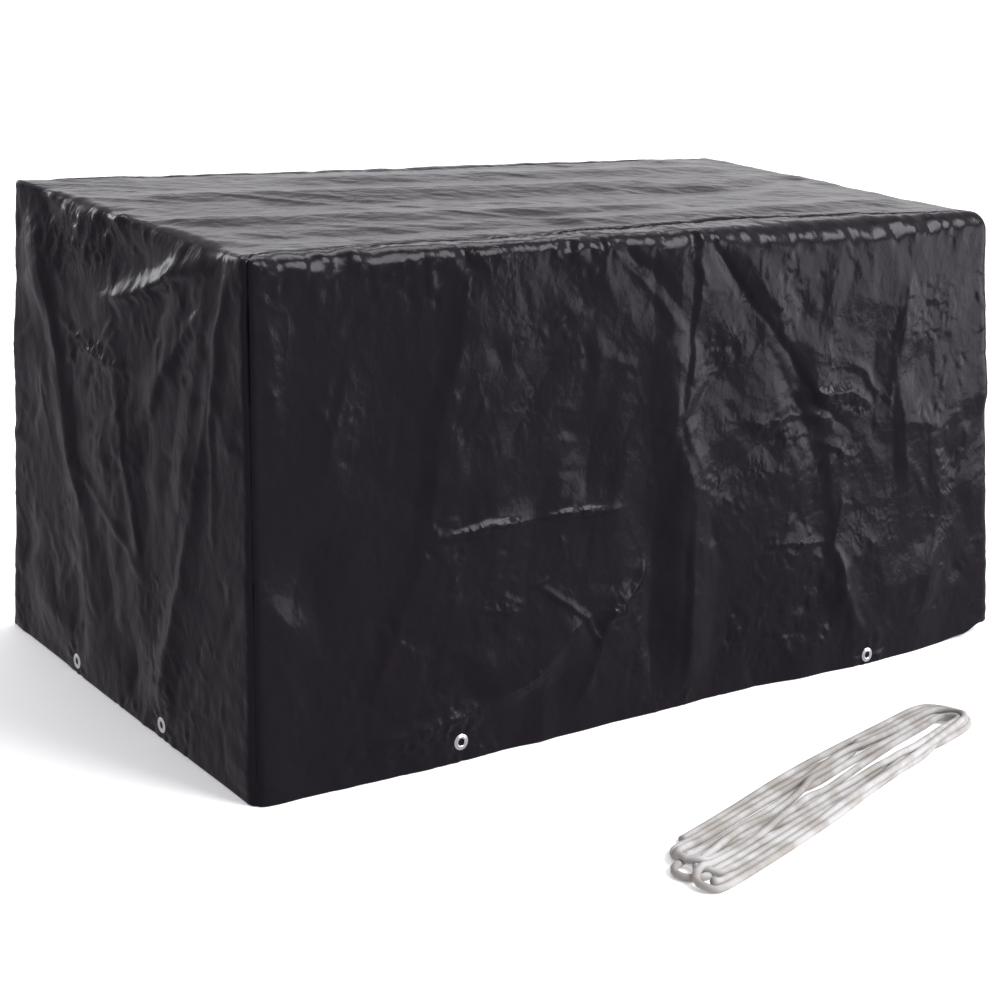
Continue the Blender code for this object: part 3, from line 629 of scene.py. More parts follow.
def seam_points(side, share, pull):
    """The seam on the top, from corner to corner, moved to the wall (pull < 0) or to the middle (> 0)."""
    share = np.asarray(share, float)
    ends = edge_surface(side, np.array((0.0, 1.0)), 1.0)
    x = ends[0, 0] + (ends[1, 0] - ends[0, 0]) * share
    tops = [np.array(CORNERS[corner].top) for corner in (SIDES[side].start, SIDES[side].end)]
    step = (x - tops[0][0]) / (tops[1][0] - tops[0][0])
    wall_y = tops[0][1] + (tops[1][1] - tops[0][1]) * step
    inwards = 1 if side == "front" else -1
    y = wall_y + inwards * (read_table(TOP_EDGE_RADIUS[side], x) + read_table(SEAM_INSET[side], x))
    end_y = np.where(share < 0.5, ends[0, 1], ends[1, 1])
    y = y + (end_y - y) * ease(1 - np.minimum(share, 1 - share) / SEAM_END) + inwards * pull
    return np.stack((x, y, HEIGHT + top_rise(x, y)), -1)


# --- the creases on that surface ---------------------------------------------------------------------------

def along_way(way, place, height):
    """Distance to a crease's line, whether that is on its left, and the share of the line run there."""
    nearest = np.full(np.shape(place), np.inf)
    left = np.zeros(np.shape(place), bool)
    run = np.zeros(np.shape(place))
    before = 0.0
    for (x0, z0), (x1, z1) in zip(way, way[1:]):
        line = np.array((x1 - x0, z1 - z0))
        length = np.linalg.norm(line)
        line = line / length
        aside, above = place - x0, height - z0
        along = np.clip(aside * line[0] + above * line[1], 0, length)
        off = np.hypot(aside - along * line[0], above - along * line[1])
        side = line[0] * above - line[1] * aside > 0
        closer = off < nearest
        nearest = np.where(closer, off, nearest)
        left = np.where(closer, side, left)
        run = np.where(closer, before + along, run)
        before += length
    return nearest, left, run / before


def crease_rise(creases, place, height, points):
    """Crests and grooves with nearly flat flanks, uneven along their way and lower towards its ends."""
    shift = 0.004 * cloud(points, 0.030, 11)
    place, height = place + shift, height + 0.5 * shift
    uneven = 0.85 + 0.35 * cloud(points, 0.045, 12)
    total = np.zeros(np.shape(place))
    for crease in creases:
        off, left, run = along_way(crease.way, place, height)
        reach = np.clip(off / np.where(left, crease.left, crease.right), 0, 1)
        taper = ease(np.minimum(run, 1 - run) / CREASE_TAPER)
        total += crease.rise * (1 - reach) ** CREASE_FLANK * (0.3 + 0.7 * taper)
    return total * uneven


def patch_depth(patches, place, height):
    total = np.zeros(np.shape(place))
    for patch in patches:
        turn = math.radians(patch.turn)
        aside, above = place - patch.place, height - patch.height
        along = (aside * math.cos(turn) + above * math.sin(turn)) / patch.half_length
        up = (above * math.cos(turn) - aside * math.sin(turn)) / patch.half_height
        total = np.maximum(total, patch.depth * ease(1.6 * (1 - np.hypot(along, up))))
    return total


# Random creases: how many to a square metre, the least and the most of half their length, of half their
# width and of their slope, and how large a part of them lies only where the cloth is rumpled
Crumple = namedtuple("Crumple", "per_square_metre half_length half_width slope gathered")
CRUMPLES = (
    Crumple(70, (0.070, 0.190), (0.025, 0.070), (0.04, 0.12), 0.0),
    Crumple(300, (0.020, 0.070), (0.008, 0.022), (0.04, 0.15), 0.5),
    Crumple(2000, (0.007, 0.024), (0.004, 0.008), (0.08, 0.30), 1.2),
)
CRUMPLE_SEED = 5
TOP_CRUMPLE = 0.50  # how steep they are on the top, as a share of the walls' creases
LEVEL_LOSS = 0.6  # how much of every crease is lost where the sheet lies level
# Pleats that run from each side's top edge down the wall: how many to a metre of the edge, and how steep
PLEATS = {"front": (100, 1.0), "back": (60, 0.35), "left": (30, 0.6), "right": (30, 0.35)}
SmallCrease = namedtuple("SmallCrease", "middle across half_length half_width rise")


def small_creases():
    """Random short creases all over the cover, in space, so that they run on over its edges."""
    random = np.random.default_rng(CRUMPLE_SEED)
    made = []
    for kind in CRUMPLES:
        for side in SIDES:
            count = int(side_length(side) * HEIGHT * kind.per_square_metre)
            share, height = random.uniform(0.005, 0.995, count), random.uniform(0.0, HEIGHT, count)
            middles = wall_surface(side, share, height)
            normals = np.pad(plan_points(side, share, height)[1], ((0, 0), (0, 1)))
            made += crumple(random, kind, middles, normals, (1.0, 1.0, 1.6), 1.0)
        near, far = CORNERS["front_left"].top, CORNERS["back_right"].top
        count = int((far[0] - near[0]) * (far[1] - near[1]) * kind.per_square_metre)
        middles = np.stack((random.uniform(near[0], far[0], count), random.uniform(near[1], far[1], count),
                            np.full(count, HEIGHT)), -1)
        normals = np.broadcast_to((0.0, 0.0, 1.0), middles.shape)
        made += crumple(random, kind, middles, normals, (2.4, 0.8, 0.0), TOP_CRUMPLE, -0.6)
    for side, (per_metre, steepness) in PLEATS.items():
        made += pleats(random, side, int(side_length(side) * per_metre), steepness)
    return made


def crumple(random, kind, middles, normals, stretch, steepness, turn=0.0):
    """One kind of crease on one side. stretch and the turn about Z say which way most of them run."""
    turned = np.array(Matrix.Rotation(turn, 3, "Z"))
    rumpled = cloud(middles, 0.11, 51) + 0.5 * cloud(middles, 0.05, 52)
    kept = random.uniform(size=len(middles)) > kind.gathered * (0.8 - 1.6 * rumpled)
    made = []
    for middle, normal in zip(middles[kept], normals[kept]):
        along = turned @ (random.normal(size=3) * stretch)
        along -= normal * (along @ normal)
        across = np.cross(normal, along / np.linalg.norm(along))
        half_width = random.uniform(*kind.half_width)
        rise = half_width * random.uniform(*kind.slope) * random.choice((-1, 1)) * steepness
        made.append(SmallCrease(middle, across, random.uniform(*kind.half_length), half_width, rise))
    return made


def pleats(random, side, count, steepness):
    """Short folds across the top edge of one side."""
    share = random.uniform(0.01, 0.99, count)
    middles = edge_surface(side, share, random.uniform(0.2, 0.9, count))
    outwards = np.pad(plan_points(side, share, HEIGHT)[1], ((0, 0), (0, 1)))
    made = []
    for middle, out in zip(middles, outwards):
        across = np.cross(out, (0.0, 0.0, 1.0)) + np.array((0.0, 0.0, random.normal(0, 0.7)))
        half_width = 0.0035 + 0.024 * random.uniform() ** 3
        rise = half_width * random.uniform(0.06, 0.32) * random.choice((-1, 1)) * steepness
        made.append(SmallCrease(middle, across / np.linalg.norm(across), random.uniform(0.014, 0.060),
                                half_width, rise))
    return made


def crumple_rise(points, normals, creases):
    """How far the small creases lift the sheet. Where it lies level, it is less rumpled."""
    flat = points.reshape(-1, 3)
    order = np.argsort(flat[:, 0])
    x, y, z = flat[order].T.copy()
    low, high = flat.min(0), flat.max(0)
    total = np.zeros(len(flat))
    for crease in creases:
        reach = math.hypot(crease.half_length, crease.half_width)
        middle = crease.middle
        if (middle < low - reach).any() or (middle > high + reach).any():
            continue
        start, end = np.searchsorted(x, (middle[0] - reach, middle[0] + reach))
        near = (np.abs(z[start:end] - middle[2]) < reach) & (np.abs(y[start:end] - middle[1]) < reach)
        near = order[start:end][near]
        off = flat[near] - middle
        across = off @ crease.across
        along = np.sqrt(np.maximum((off * off).sum(1) - across ** 2, 0.0)) / crease.half_length
        reach = np.clip(np.abs(across) / crease.half_width, 0, 1)
        total[near] += crease.rise * (1 - reach) * (1 - np.clip(along, 0, 1) ** 2) ** 2
    return total.reshape(points.shape[:-1]) * (1 - LEVEL_LOSS * np.abs(normals[..., 2]))


def near_top_corners(points):
    """0 at the cover's four upper corners and 1 a little way from them."""
    nearest = np.full(points.shape[:-1], np.inf)
    for side in ("front", "back"):
        for corner in edge_surface(side, np.array((0.0, 1.0)), 1.0):
            nearest = np.minimum(nearest, np.linalg.norm(points - corner, axis=-1))
    return ease(nearest / TOP_CORNER_FADE)


def crinkle_rise(points, depth):
    """Small sharp crinkles inside a patch."""
    folded = 1 - 2 * np.abs(cloud(points, 0.016, 21))
    finer = 1 - 2 * np.abs(cloud(points, 0.009, 22))
    return depth * (0.0026 * folded + 0.0010 * finer)


def wall_details(side, points, normals, settings):
    """Creases, eyelet puckers and crinkles off the base surface, and the depth of the crinkles."""
    place, height = points[..., SIDES[side].axis], points[..., 2]
    upright = np.clip(1 - normals[..., 2] ** 2, 0, 1)
    placed = crease_rise(CREASES.get(side, ()), place, height, points) * upright * settings.crease_depth
    placed += eyelet_puckers(side, place, height)
    depth = patch_depth(PATCHES.get(side, ()), place, height) * upright
    return placed + crinkle_rise(points, depth), depth


def top_details(points, normals):
    """The top's shallow wrinkles, that run slantwise from its back left to its front right."""
    level = np.clip(normals[..., 2], 0, 1) ** 2
    turned = points @ np.array(((0.82, 0.57, 0.0), (-0.57, 0.82, 0.0), (0.0, 0.0, 1.0)))
    long_wrinkles = 1 - 2 * np.abs(cloud(turned, np.array((0.34, 0.050, 1.0)), 31))
    finer = 1 - 2 * np.abs(cloud(turned, np.array((0.16, 0.024, 1.0)), 32))
    return level * (0.0008 * long_wrinkles + 0.0003 * finer)


# --- panels ------------------------------------------------------------------------------------------------

HEM_ROWS = 13  # rows of points from a hem's foot to its top
HEM_TURN_STEPS = 6  # and round its fold
EDGE_ROWS = 9  # rows over a top edge
EDGE_HOLD = 6  # how fast the top's rows forget the shape of its left and right edge
SEAM_STEPS = (0.0, 0.0010, 0.0024, 0.0045)  # distances of the rows next to a seam
SEAM_DIP = 0.0030
SEAM_LIP = 0.0030  # the cloth's edge turned in at a seam
TOP_CORNER_FADE = 0.014  # all of it dies out this close to a top corner
SEAM_FADE = 0.006  # creases die out this close to a seam on the top
SEAM_WIDTH = 0.013  # half the width of the dip at a front or back seam on the top
UPRIGHT_FADE = 0.008
UPRIGHT_WIDTH = 0.004
UPRIGHT_SHARE = 0.6  # an upright seam's dip and puckers, as a share of those on the top


def graded(length, cell, start=True, end=True):
    """Shares of a length about a cell apart, closer together at a seam."""
    shares = np.linspace(0, 1, max(int(round(length / cell)), 2) + 1)
    close = np.array(SEAM_STEPS) / length
    if start:
        shares = np.concatenate((close, shares[shares > close[-1] + 0.4 * cell / length]))
    if end:
        shares = np.concatenate((shares[shares < 1 - close[-1] - 0.4 * cell / length], 1 - close[::-1]))
    return shares


def seam_shape(distance, places, width, settings):
    """How a sheet dips into a seam over a width, and its puckers there."""
    dip = -SEAM_DIP * np.exp(-(distance / width) ** 1.5)
    fade = np.exp(-distance / 0.026) * (1 - np.exp(-(distance / 0.004) ** 2))
    pucker = 1 - 2 * np.abs(cloud(places, np.array((0.015, 0.080, 0.080)), 41))
    pucker += 0.8 * cloud(places, np.array((0.034, 0.100, 0.100)), 42)
    behind = ease((places[..., 1] - 0.3) / 0.1) * ease((places[..., 2] - 0.7) / 0.05)
    return dip + fade * settings.pucker_rise * pucker * (1 - 0.7 * behind)


def finish_panel(name, points, normals, outwards, depth, uv, lips):
    """Turns the edges of a lifted surface in and makes the sheet."""
    for where in lips:
        index = 0 if where.startswith("first") else -1
        axis = 0 if where.endswith("row") else 1
        lip = np.take(points, [index], axis)
        lip = lip - np.take(normals, [index], axis) * SEAM_LIP * near_top_corners(lip)[..., None]
        parts = []
        for edge, whole in ((lip, points), (np.take(normals, [index], axis), normals),
                            (np.take(uv, [index], axis), uv), (np.take(depth, [index], axis), depth)):
            parts.append(np.concatenate((edge, whole) if index == 0 else (whole, edge), axis))
        points, normals, uv, depth = parts
    piece, (row, column) = lay_grid(name, points, uv, outwards)
    add_attribute(piece, "crinkle", depth[row, column])
    return piece


def wall_base(side, share, cell):
    """Rows of a wall: its hem, the wall up to where the top edge begins to turn, and over that edge."""
    lift = hem_lift(side, share)
    foot = HEM_FOOT + HEM_THICKNESS / 2
    heights = np.linspace(foot, HEM_HEIGHT, HEM_ROWS)
    hem = wall_surface(side, share[None, :], heights[:, None] + lift[None, :])
    steps = np.linspace(0, 1, int(round((HEIGHT - HEM_HEIGHT) / cell)) + 1)[1:, None]
    bottom, top = HEM_HEIGHT + lift, HEIGHT - edge_radius(side, share)
    wall = wall_surface(side, share[None, :], bottom + (top - bottom) * steps)
    edge = edge_surface(side, share[None, :], np.linspace(0, 1, EDGE_ROWS)[1:, None])
    return np.concatenate((hem, wall, edge))


def run_lengths(points):
    """How far each row lies from the first, along the cloth."""
    steps = np.linalg.norm(np.diff(points, axis=0), axis=-1).mean(1)
    return np.concatenate(((0.0,), np.cumsum(steps)))


def cloth_map(share, length, points):
    return np.stack(np.broadcast_arrays((share * length)[None, :], run_lengths(points)[:, None]), -1)


def pulled_shares(length, cell):
    """Shares of a wall's walk that stop just short of both upright seams."""
    return CORNER_PULL / length + graded(length, cell) * (1 - 2 * CORNER_PULL / length)


def make_wall_panel(side, settings, creases):
    """The front or the back panel: hem to top edge, over it and in to its seam on the top, and its hem."""
    cell = settings.cell if side == "front" else settings.cell * 1.5
    length = side_length(side)
    share = pulled_shares(length, cell)
    wall = wall_base(side, share, cell)
    seam = seam_points(side, share, -GAP / 2)
    deep = float(np.abs(seam[:, 1] - wall[-1, :, 1]).max())
    steps = graded(deep, cell, start=False)[1:, None, None]
    strip = wall[-1] * (1 - steps) + seam * steps
    strip[..., 2] = HEIGHT + top_rise(strip[..., 0], strip[..., 1])
    base = np.concatenate((wall, strip))
    outwards = (0.0, -1.0 if side == "front" else 1.0, 0.0)
    normals = surface_normals(base, outwards)

    rise, depth = wall_details(side, base, normals, settings)
    rise += top_details(base, normals)
    rise += crumple_rise(base, normals, creases) * settings.crumple_depth
    to_seam = np.linalg.norm(base - seam[None], axis=-1)
    to_corner = np.broadcast_to(np.minimum(share, 1 - share) * length, to_seam.shape)
    rise = rise * ease(to_seam / SEAM_FADE) * ease(to_corner / UPRIGHT_FADE) * around_eyelets(side, base)
    rise += seam_shape(to_seam, base, SEAM_WIDTH, settings)
    rise += seam_shape(to_corner, base[..., [2, 0, 1]], UPRIGHT_WIDTH, settings) * UPRIGHT_SHARE
    points = base + normals * (rise * near_top_corners(base))[..., None]

    uv = cloth_map(share, length, base)
    hem = make_hem(side, points[:HEM_ROWS], uv[:HEM_ROWS], share, outwards)
    above = slice(HEM_ROWS - 1, None)
    uv = uv[above]
    panel = finish_panel(f"{side}_sheet", points[above], normals[above], outwards, depth[above], uv,
                         ("last_row", "first_column", "last_column"))
    return panel, hem, (float(uv[-1, -1, 0]), float(uv[-1, -1, 1] - uv[0, 0, 1]))


def centre_top(share, count):
    """The top between the left and the right edge, with its two long sides on the seams."""
    run = np.linspace(0, 1, count + 1)[1:-1, None, None]
    deep = ((share - share[0]) / (share[-1] - share[0]))[None, :, None]
    pull = CORNER_PULL / side_length("front")
    walk = pull + run[:, 0, 0] * (1 - 2 * pull)
    front_seam = seam_points("front", walk, GAP / 2)[:, None]
    back_seam = seam_points("back", 1 - walk, GAP / 2)[:, None]
    top = front_seam * (1 - deep) + back_seam * deep
    left_edge, right_edge = edge_surface("left", 1 - share, 1.0), edge_surface("right", share, 1.0)
    for edge, near in ((left_edge, 1 - run), (right_edge, run)):
        straight = edge[:1] * (1 - deep) + edge[-1:] * deep
        top = top + (edge - straight) * near ** EDGE_HOLD
    top[..., 2] = HEIGHT + top_rise(top[..., 0], top[..., 1])
    return top


def make_centre_panel(settings, creases):
    """Left wall, top and right wall in one strip, and the hems at both its ends."""
    cell = settings.cell * 1.35
    length = side_length("left")
    share = pulled_shares(length, cell)
    left = wall_base("left", 1 - share, settings.cell * 1.25)
    top = centre_top(share, int(round(1.56 / (settings.cell * 1.5))))
    right = wall_base("right", share, settings.cell * 1.9)[::-1]
    base = np.concatenate((left, top, right))
    outwards = (0.0, 0.0, 1.0)
    normals = surface_normals(base, outwards)

    row = np.arange(len(base))[:, None]
    before, after = len(left), len(left) + len(top)
    rise, depth = wall_details("left", base, normals, settings)
    on_left = row < before + 2
    rise, depth = rise * on_left, depth * on_left
    rise += top_details(base, normals)
    rise += crumple_rise(base, normals, creases) * settings.crumple_depth
    to_side = np.broadcast_to(np.minimum(share, 1 - share) * length, rise.shape)
    rise = rise * ease(to_side / 0.007)
    rise *= np.where(row < before, around_eyelets("left", base), 1.0)
    rise *= np.where(row >= after, around_eyelets("right", base), 1.0)
    on_top = (row >= before - EDGE_ROWS) & (row < after + EDGE_ROWS)
    walk = np.where(on_top[..., None], base, base[..., [2, 0, 1]])
    rise += seam_shape(to_side, walk, 0.0045, settings) * np.where(on_top, 1.0, UPRIGHT_SHARE)
    points = base + normals * (rise * near_top_corners(base))[..., None]

    uv = cloth_map(share, length, base)
    left_hem = make_hem("left", points[:HEM_ROWS], uv[:HEM_ROWS], share, (-1.0, 0.0, 0.0))
    right_hem = make_hem("right", points[::-1][:HEM_ROWS], uv[::-1][:HEM_ROWS], share, (1.0, 0.0, 0.0))
    above = slice(HEM_ROWS - 1, 1 - HEM_ROWS)
    uv = uv[above]
    panel = finish_panel("centre_sheet", points[above], normals[above], outwards, depth[above], uv,
                         ("first_column", "last_column"))
    return panel, (left_hem, right_hem), (float(uv[-1, -1, 0]), float(uv[-1, -1, 1] - uv[0, 0, 1]))


# --- hems and eyelets --------------------------------------------------------------------------------------

def around_eyelets(side, points):
    """0 on the cloth that an eyelet grips and 1 away from it."""
    share = np.ones(points.shape[:-1])
    for eyelet in EYELETS.values():
        if eyelet.side == side:
            off = np.hypot(points[..., SIDES[side].axis] - eyelet.along, points[..., 2] - eyelet.height)
            share *= ease((off - EYELET_FLAT_RADIUS) / 0.010)
    return share


def eyelet_puckers(side, place, height):
    """Small folds that run out from each eyelet."""
    total = np.zeros(np.shape(place))
    for number, eyelet in enumerate(EYELETS.values()):
        if eyelet.side != side:
            continue
        aside, above = place - eyelet.along, height - eyelet.height
        off = np.hypot(aside, above)
        angle = np.arctan2(above, aside)
        folds = 1 - 2 * np.abs(np.sin(3.5 * angle + number)) + 0.5 * np.sin(9 * angle + 2 * number)
        fade = ease((off - EYELET_FLAT_RADIUS) / 0.006) * (1 - ease((off - 0.016) / PUCKER_RADIUS))
        total += EYELET_PUCKER * folds * fade
    return total


def make_hem(side, outer, outer_map, share, outwards):
    """The folded strip at a wall's foot: down its outer face, round the fold and up its inner face."""
    fold = HEM_THICKNESS / 2
    outer, outer_map = outer[::-1], outer_map[::-1]
    walk = share if side != "left" else 1 - share
    normal = plan_points(side, walk, 0.0)[1]
    normal = np.concatenate((normal, np.zeros((len(share), 1))), -1)
    turned = []
    for step in range(1, HEM_TURN_STEPS):
        angle = math.pi * step / HEM_TURN_STEPS
        down = np.array((0.0, 0.0, fold * math.sin(angle)))
        turned.append(outer[-1] - normal * fold * (1 - math.cos(angle)) - down)
    inner = outer[::-1] - normal * HEM_THICKNESS
    points = np.concatenate((outer, np.array(turned), inner, outer[:1]))
    down = 1.0 if outer_map[-1, 0, 1] > outer_map[0, 0, 1] else -1.0
    folded = outer_map[-1:] + np.array((0.0, down)) * run_lengths(points[len(outer) - 1:])[1:, None, None]
    piece, _ = lay_grid(f"{side}_hem", points, np.concatenate((outer_map, folded)), outwards)
    close_tube(piece)
    piece.data.set_sharp_from_angle(angle=math.radians(60))
    return piece


def close_tube(piece):
    """Joins a tube's first and last rows, and fills its two ends."""
    tube = bmesh.new()
    tube.from_mesh(piece.data)
    bmesh.ops.remove_doubles(tube, verts=tube.verts, dist=0.00002)
    open_edges = [edge for edge in tube.edges if edge.is_boundary]
    bmesh.ops.holes_fill(tube, edges=open_edges, sides=0)
    bmesh.ops.recalc_face_normals(tube, faces=tube.faces)
    tube.to_mesh(piece.data)
    tube.free()


def eyelet_seat(eyelet):
    """The middle of the hem's thickness at an eyelet, and the way that the eyelet faces."""
    shares = np.array([share_at(eyelet.side, eyelet.along + step) for step in (-EYELET_FLAT, EYELET_FLAT)])
    lower = wall_surface(eyelet.side, shares, 0.0)
    upper = wall_surface(eyelet.side, shares, HEM_HEIGHT)
    along = Vector(lower[1] - lower[0]).normalized()
    up = Vector(upper[0] - lower[0]).normalized()
    outwards = along.cross(up).normalized()
    face = Vector(lower.mean(0)).lerp(Vector(upper.mean(0)), eyelet.height / HEM_HEIGHT)
    out = plan_points(eyelet.side, shares[0], 0.0)[1]
    if outwards.dot(Vector((*out, 0.0))) < 0:
        outwards.negate()
    return face - outwards * HEM_THICKNESS / 2, outwards


def make_eyelet(name, eyelet):
    """A rolled metal eyelet: half of its section, walked down its outer side and spun round its axis."""
    grip = HEM_THICKNESS / 2 + GAP
    bore, rim, barrel = EYELET_BORE, EYELET_RADIUS, EYELET_BARREL
    section = []
    crown = grip + EYELET_CROWN
    for step in range(7):
        angle = math.pi * step / 6
        section.append((bore + EYELET_ROLL - EYELET_ROLL * math.cos(angle),
                        crown - EYELET_ROLL_DEPTH + EYELET_ROLL_DEPTH * math.sin(angle)))
    section += [(rim - 0.0012, grip + 0.0006), (rim - 0.0003, grip + 0.0003), (rim, grip),
                (barrel, grip), (barrel, -grip), (rim - 0.0008, -grip), (rim - 0.0010, -grip - 0.0005),
                (bore + 0.0010, -grip - 0.0009), (bore, -grip - 0.0005)]
    ring = bmesh.new()
    points = [ring.verts.new((radius, 0.0, z)) for radius, z in section]
    edges = [ring.edges.new(pair) for pair in zip(points, points[1:] + points[:1])]
    bmesh.ops.spin(ring, geom=points + edges, cent=(0, 0, 0), axis=(0, 0, 1), angle=2 * math.pi,
                   steps=48, use_merge=True)
    bmesh.ops.remove_doubles(ring, verts=ring.verts, dist=0.00001)
    bmesh.ops.recalc_face_normals(ring, faces=ring.faces)
    centre, outwards = eyelet_seat(eyelet)
    seat = Matrix.Translation(centre) @ outwards.to_track_quat("Z", "Y").to_matrix().to_4x4()
    bmesh.ops.transform(ring, matrix=seat, verts=ring.verts)
    mesh = bpy.data.meshes.new(name)
    ring.to_mesh(mesh)
    ring.free()
    mesh.shade_smooth()
    mesh.set_sharp_from_angle(angle=math.radians(50))
    return link(bpy.data.objects.new(name, mesh))


# --- the tie rope ------------------------------------------------------------------------------------------

def hank_strand(left, left_aside, right, right_aside, height, random):
    """One run of the rope between a bight and a loop, from left to right."""
    turns, start, size = random.uniform(0.5, 1.1), random.uniform(0, 1), random.uniform(-1, 1)
    strand = []
    for share in (0.10, 0.25, 0.40, 0.55, 0.70, 0.85):
        mix = float(ease(share))
        aside = (left_aside + (right_aside - left_aside) * mix) * (1 + ROPE_BELLY * math.sin(math.pi * share))
        wander = math.sin(2 * math.pi * (turns * share + start)) * math.sin(math.pi * share)
        strand.append((left + (right - left) * share, aside + ROPE_WANDER * size * wander, height))
    return strand


def hank_way(diameter):
    """The rope's way through the hank before it falls, as (along the hank, aside, up)."""
    length = (HANK_RIGHT_END - HANK_LEFT_END).length
    random = np.random.default_rng(ROPE_SEED)
    way = [(BIGHTS[0].short, BIGHTS[0].aside, diameter / 2)]
    for level, (before, loop, after) in enumerate(zip(BIGHTS, LOOPS, BIGHTS[1:])):
        low = diameter / 2 + level * diameter * ROPE_LEVEL
        right = length - loop.short - loop.half
        left = before.short + before.half
        way += hank_strand(left, before.aside + before.half, right, loop.aside + loop.half, low, random)
        for degrees in (80, 45, 0, -45, -80):
            angle = math.radians(degrees)
            way.append((right + loop.half * math.cos(angle), loop.aside + loop.half * math.sin(angle), low))
        left = after.short + after.half
        way += hank_strand(left, after.aside - after.half, right, loop.aside - loop.half, low, random)[::-1]
        if not after.half:
            way.append((after.short, after.aside, low))
            continue
        for degrees in (-80, -45, 0, 45, 80):
            angle = math.radians(degrees)
            climb = diameter * ROPE_LEVEL * (degrees + 80) / 160
            way.append((left - after.half * math.cos(angle), after.aside + after.half * math.sin(angle),
                        low + climb))
    return np.array(way)


def smooth_way(way, spacing):
    """Points at one spacing on a smooth curve through the way."""
    padded = np.concatenate((2 * way[:1] - way[1:2], way, 2 * way[-1:] - way[-2:-1]))
    part = np.linspace(0, 1, 12, endpoint=False)[:, None]
    spans = []
    for before, start, end, after in zip(padded, padded[1:], padded[2:], padded[3:]):
        bend = 2 * before - 5 * start + 4 * end - after
        twist = 3 * start - before - 3 * end + after
        spans.append(0.5 * (2 * start + (end - before) * part + bend * part ** 2 + twist * part ** 3))
    fine = np.concatenate(spans + [way[-1:]])
    run = np.concatenate(((0.0,), np.cumsum(np.linalg.norm(np.diff(fine, axis=0), axis=1))))
    at = np.linspace(0, run[-1], int(run[-1] / spacing) + 1)
    return np.stack([np.interp(at, run, fine[:, axis]) for axis in range(3)], 1)


def settle_rope(points, diameter, rounds=260):
    """Lets the turns fall on the floor and on each other, at the rope's own length."""
    rest = np.linalg.norm(np.diff(points, axis=0), axis=1).mean()
    home = points.copy()
    reach = ROPE_BEND_REACH
    for step in range(rounds):
        if step % 8 == 0:
            apart = ((points[:, None] - points[None]) ** 2).sum(-1)
            first, second = np.nonzero(np.triu(apart < (2.2 * diameter) ** 2, k=4))
        points[:, 2] -= 0.0006
        points[:, :2] += (home[:, :2] - points[:, :2]) * 0.10
        for _ in range(3):
            way = points[second] - points[first]
            distance = np.linalg.norm(way, axis=1) + 1e-9
            touch = distance < diameter
            push = way[touch] * (0.3 * (diameter - distance[touch]) / distance[touch])[:, None] * ROPE_GIVE
            np.add.at(points, second[touch], push)
            np.add.at(points, first[touch], -push)
            for start in (0, 1):
                i = np.arange(start, len(points) - 1, 2)
                way = points[i + 1] - points[i]
                distance = np.linalg.norm(way, axis=1)
                pull = way * (0.5 * (distance - rest) / distance)[:, None]
                points[i] += pull
                points[i + 1] -= pull
            points[1:-1] += ((points[:-2] + points[2:]) / 2 - points[1:-1]) * 0.22
            height = points[:, 2]
            height[reach:-reach] += ((height[:-2 * reach] + height[2 * reach:]) / 2
                                     - height[reach:-reach]) * 0.12
            points[:, 2] = np.maximum(points[:, 2], diameter / 2)
    return points


def rope_line(diameter):
    """The settled rope's centre line in the frame."""
    points = settle_rope(smooth_way(hank_way(diameter), ROPE_SPACING), diameter)
    along = (HANK_RIGHT_END - HANK_LEFT_END).normalized()
    aside = Vector((-along.y, along.x, 0.0))
    turn = np.array((along, aside, (0.0, 0.0, 1.0)))
    return np.array(HANK_LEFT_END) + points @ turn


def make_rope(settings):
    """A tube along the settled line, with the rope's length and turn as its UV map."""
    line = rope_line(settings.diameter)
    run = np.concatenate(((0.0,), np.cumsum(np.linalg.norm(np.diff(line, axis=0), axis=1))))
    way = np.gradient(line, axis=0)
    way /= np.linalg.norm(way, axis=1, keepdims=True)
    aside = np.cross(way, (0.0, 0.0, 1.0))
    aside /= np.linalg.norm(aside, axis=1, keepdims=True)
    up = np.cross(aside, way)
    angles = np.linspace(0, 2 * math.pi, settings.sides + 1)
    radius = settings.diameter / 2
    ring = aside[:, None] * np.cos(angles)[None, :, None] + up[:, None] * np.sin(angles)[None, :, None]
    points = line[:, None] + ring * radius
    points[:, -1] = points[:, 0]
    uv = np.stack(np.broadcast_arrays(run[:, None], angles[None, :] / (2 * math.pi)), -1)
    piece, _ = lay_grid("tie_rope", points, uv, ring[len(line) // 2, settings.sides // 2])
    close_tube(piece)
    return piece, line, float(run[-1])


# --- materials ---------------------------------------------------------------------------------------------

def new_material(name):
    made = bpy.data.materials.new(name)
    made.use_nodes = True
    tree = made.node_tree
    return made, tree, tree.nodes["Principled BSDF"]


def add_node(tree, kind, **sockets):
    node = tree.nodes.new(kind)
    for name, value in sockets.items():
        node.inputs[name.replace("_", " ")].default_value = value
    return node


def bump(tree, height, strength, distance, below=None):
    node = add_node(tree, "ShaderNodeBump", Distance=distance)
    if isinstance(strength, float):
        node.inputs["Strength"].default_value = strength
    else:
        tree.links.new(strength, node.inputs["Strength"])
    tree.links.new(height, node.inputs["Height"])
    if below is not None:
        tree.links.new(below, node.inputs["Normal"])
    return node.outputs["Normal"]


def noise(tree, vector, scale, detail, kind="FBM", roughness=0.55):
    node = add_node(tree, "ShaderNodeTexNoise", Scale=scale, Detail=detail, Roughness=roughness)
    node.noise_type = kind
    tree.links.new(vector, node.inputs["Vector"])
    return node.outputs["Fac"]


def facets(tree, vector, scale):
    """Flat facets that meet in sharp lines, like those of crumpled foil."""
    node = add_node(tree, "ShaderNodeTexVoronoi", Scale=scale)
    node.voronoi_dimensions = "2D"
    node.feature = "DISTANCE_TO_EDGE"
    tree.links.new(vector, node.inputs["Vector"])
    return node.outputs["Distance"]


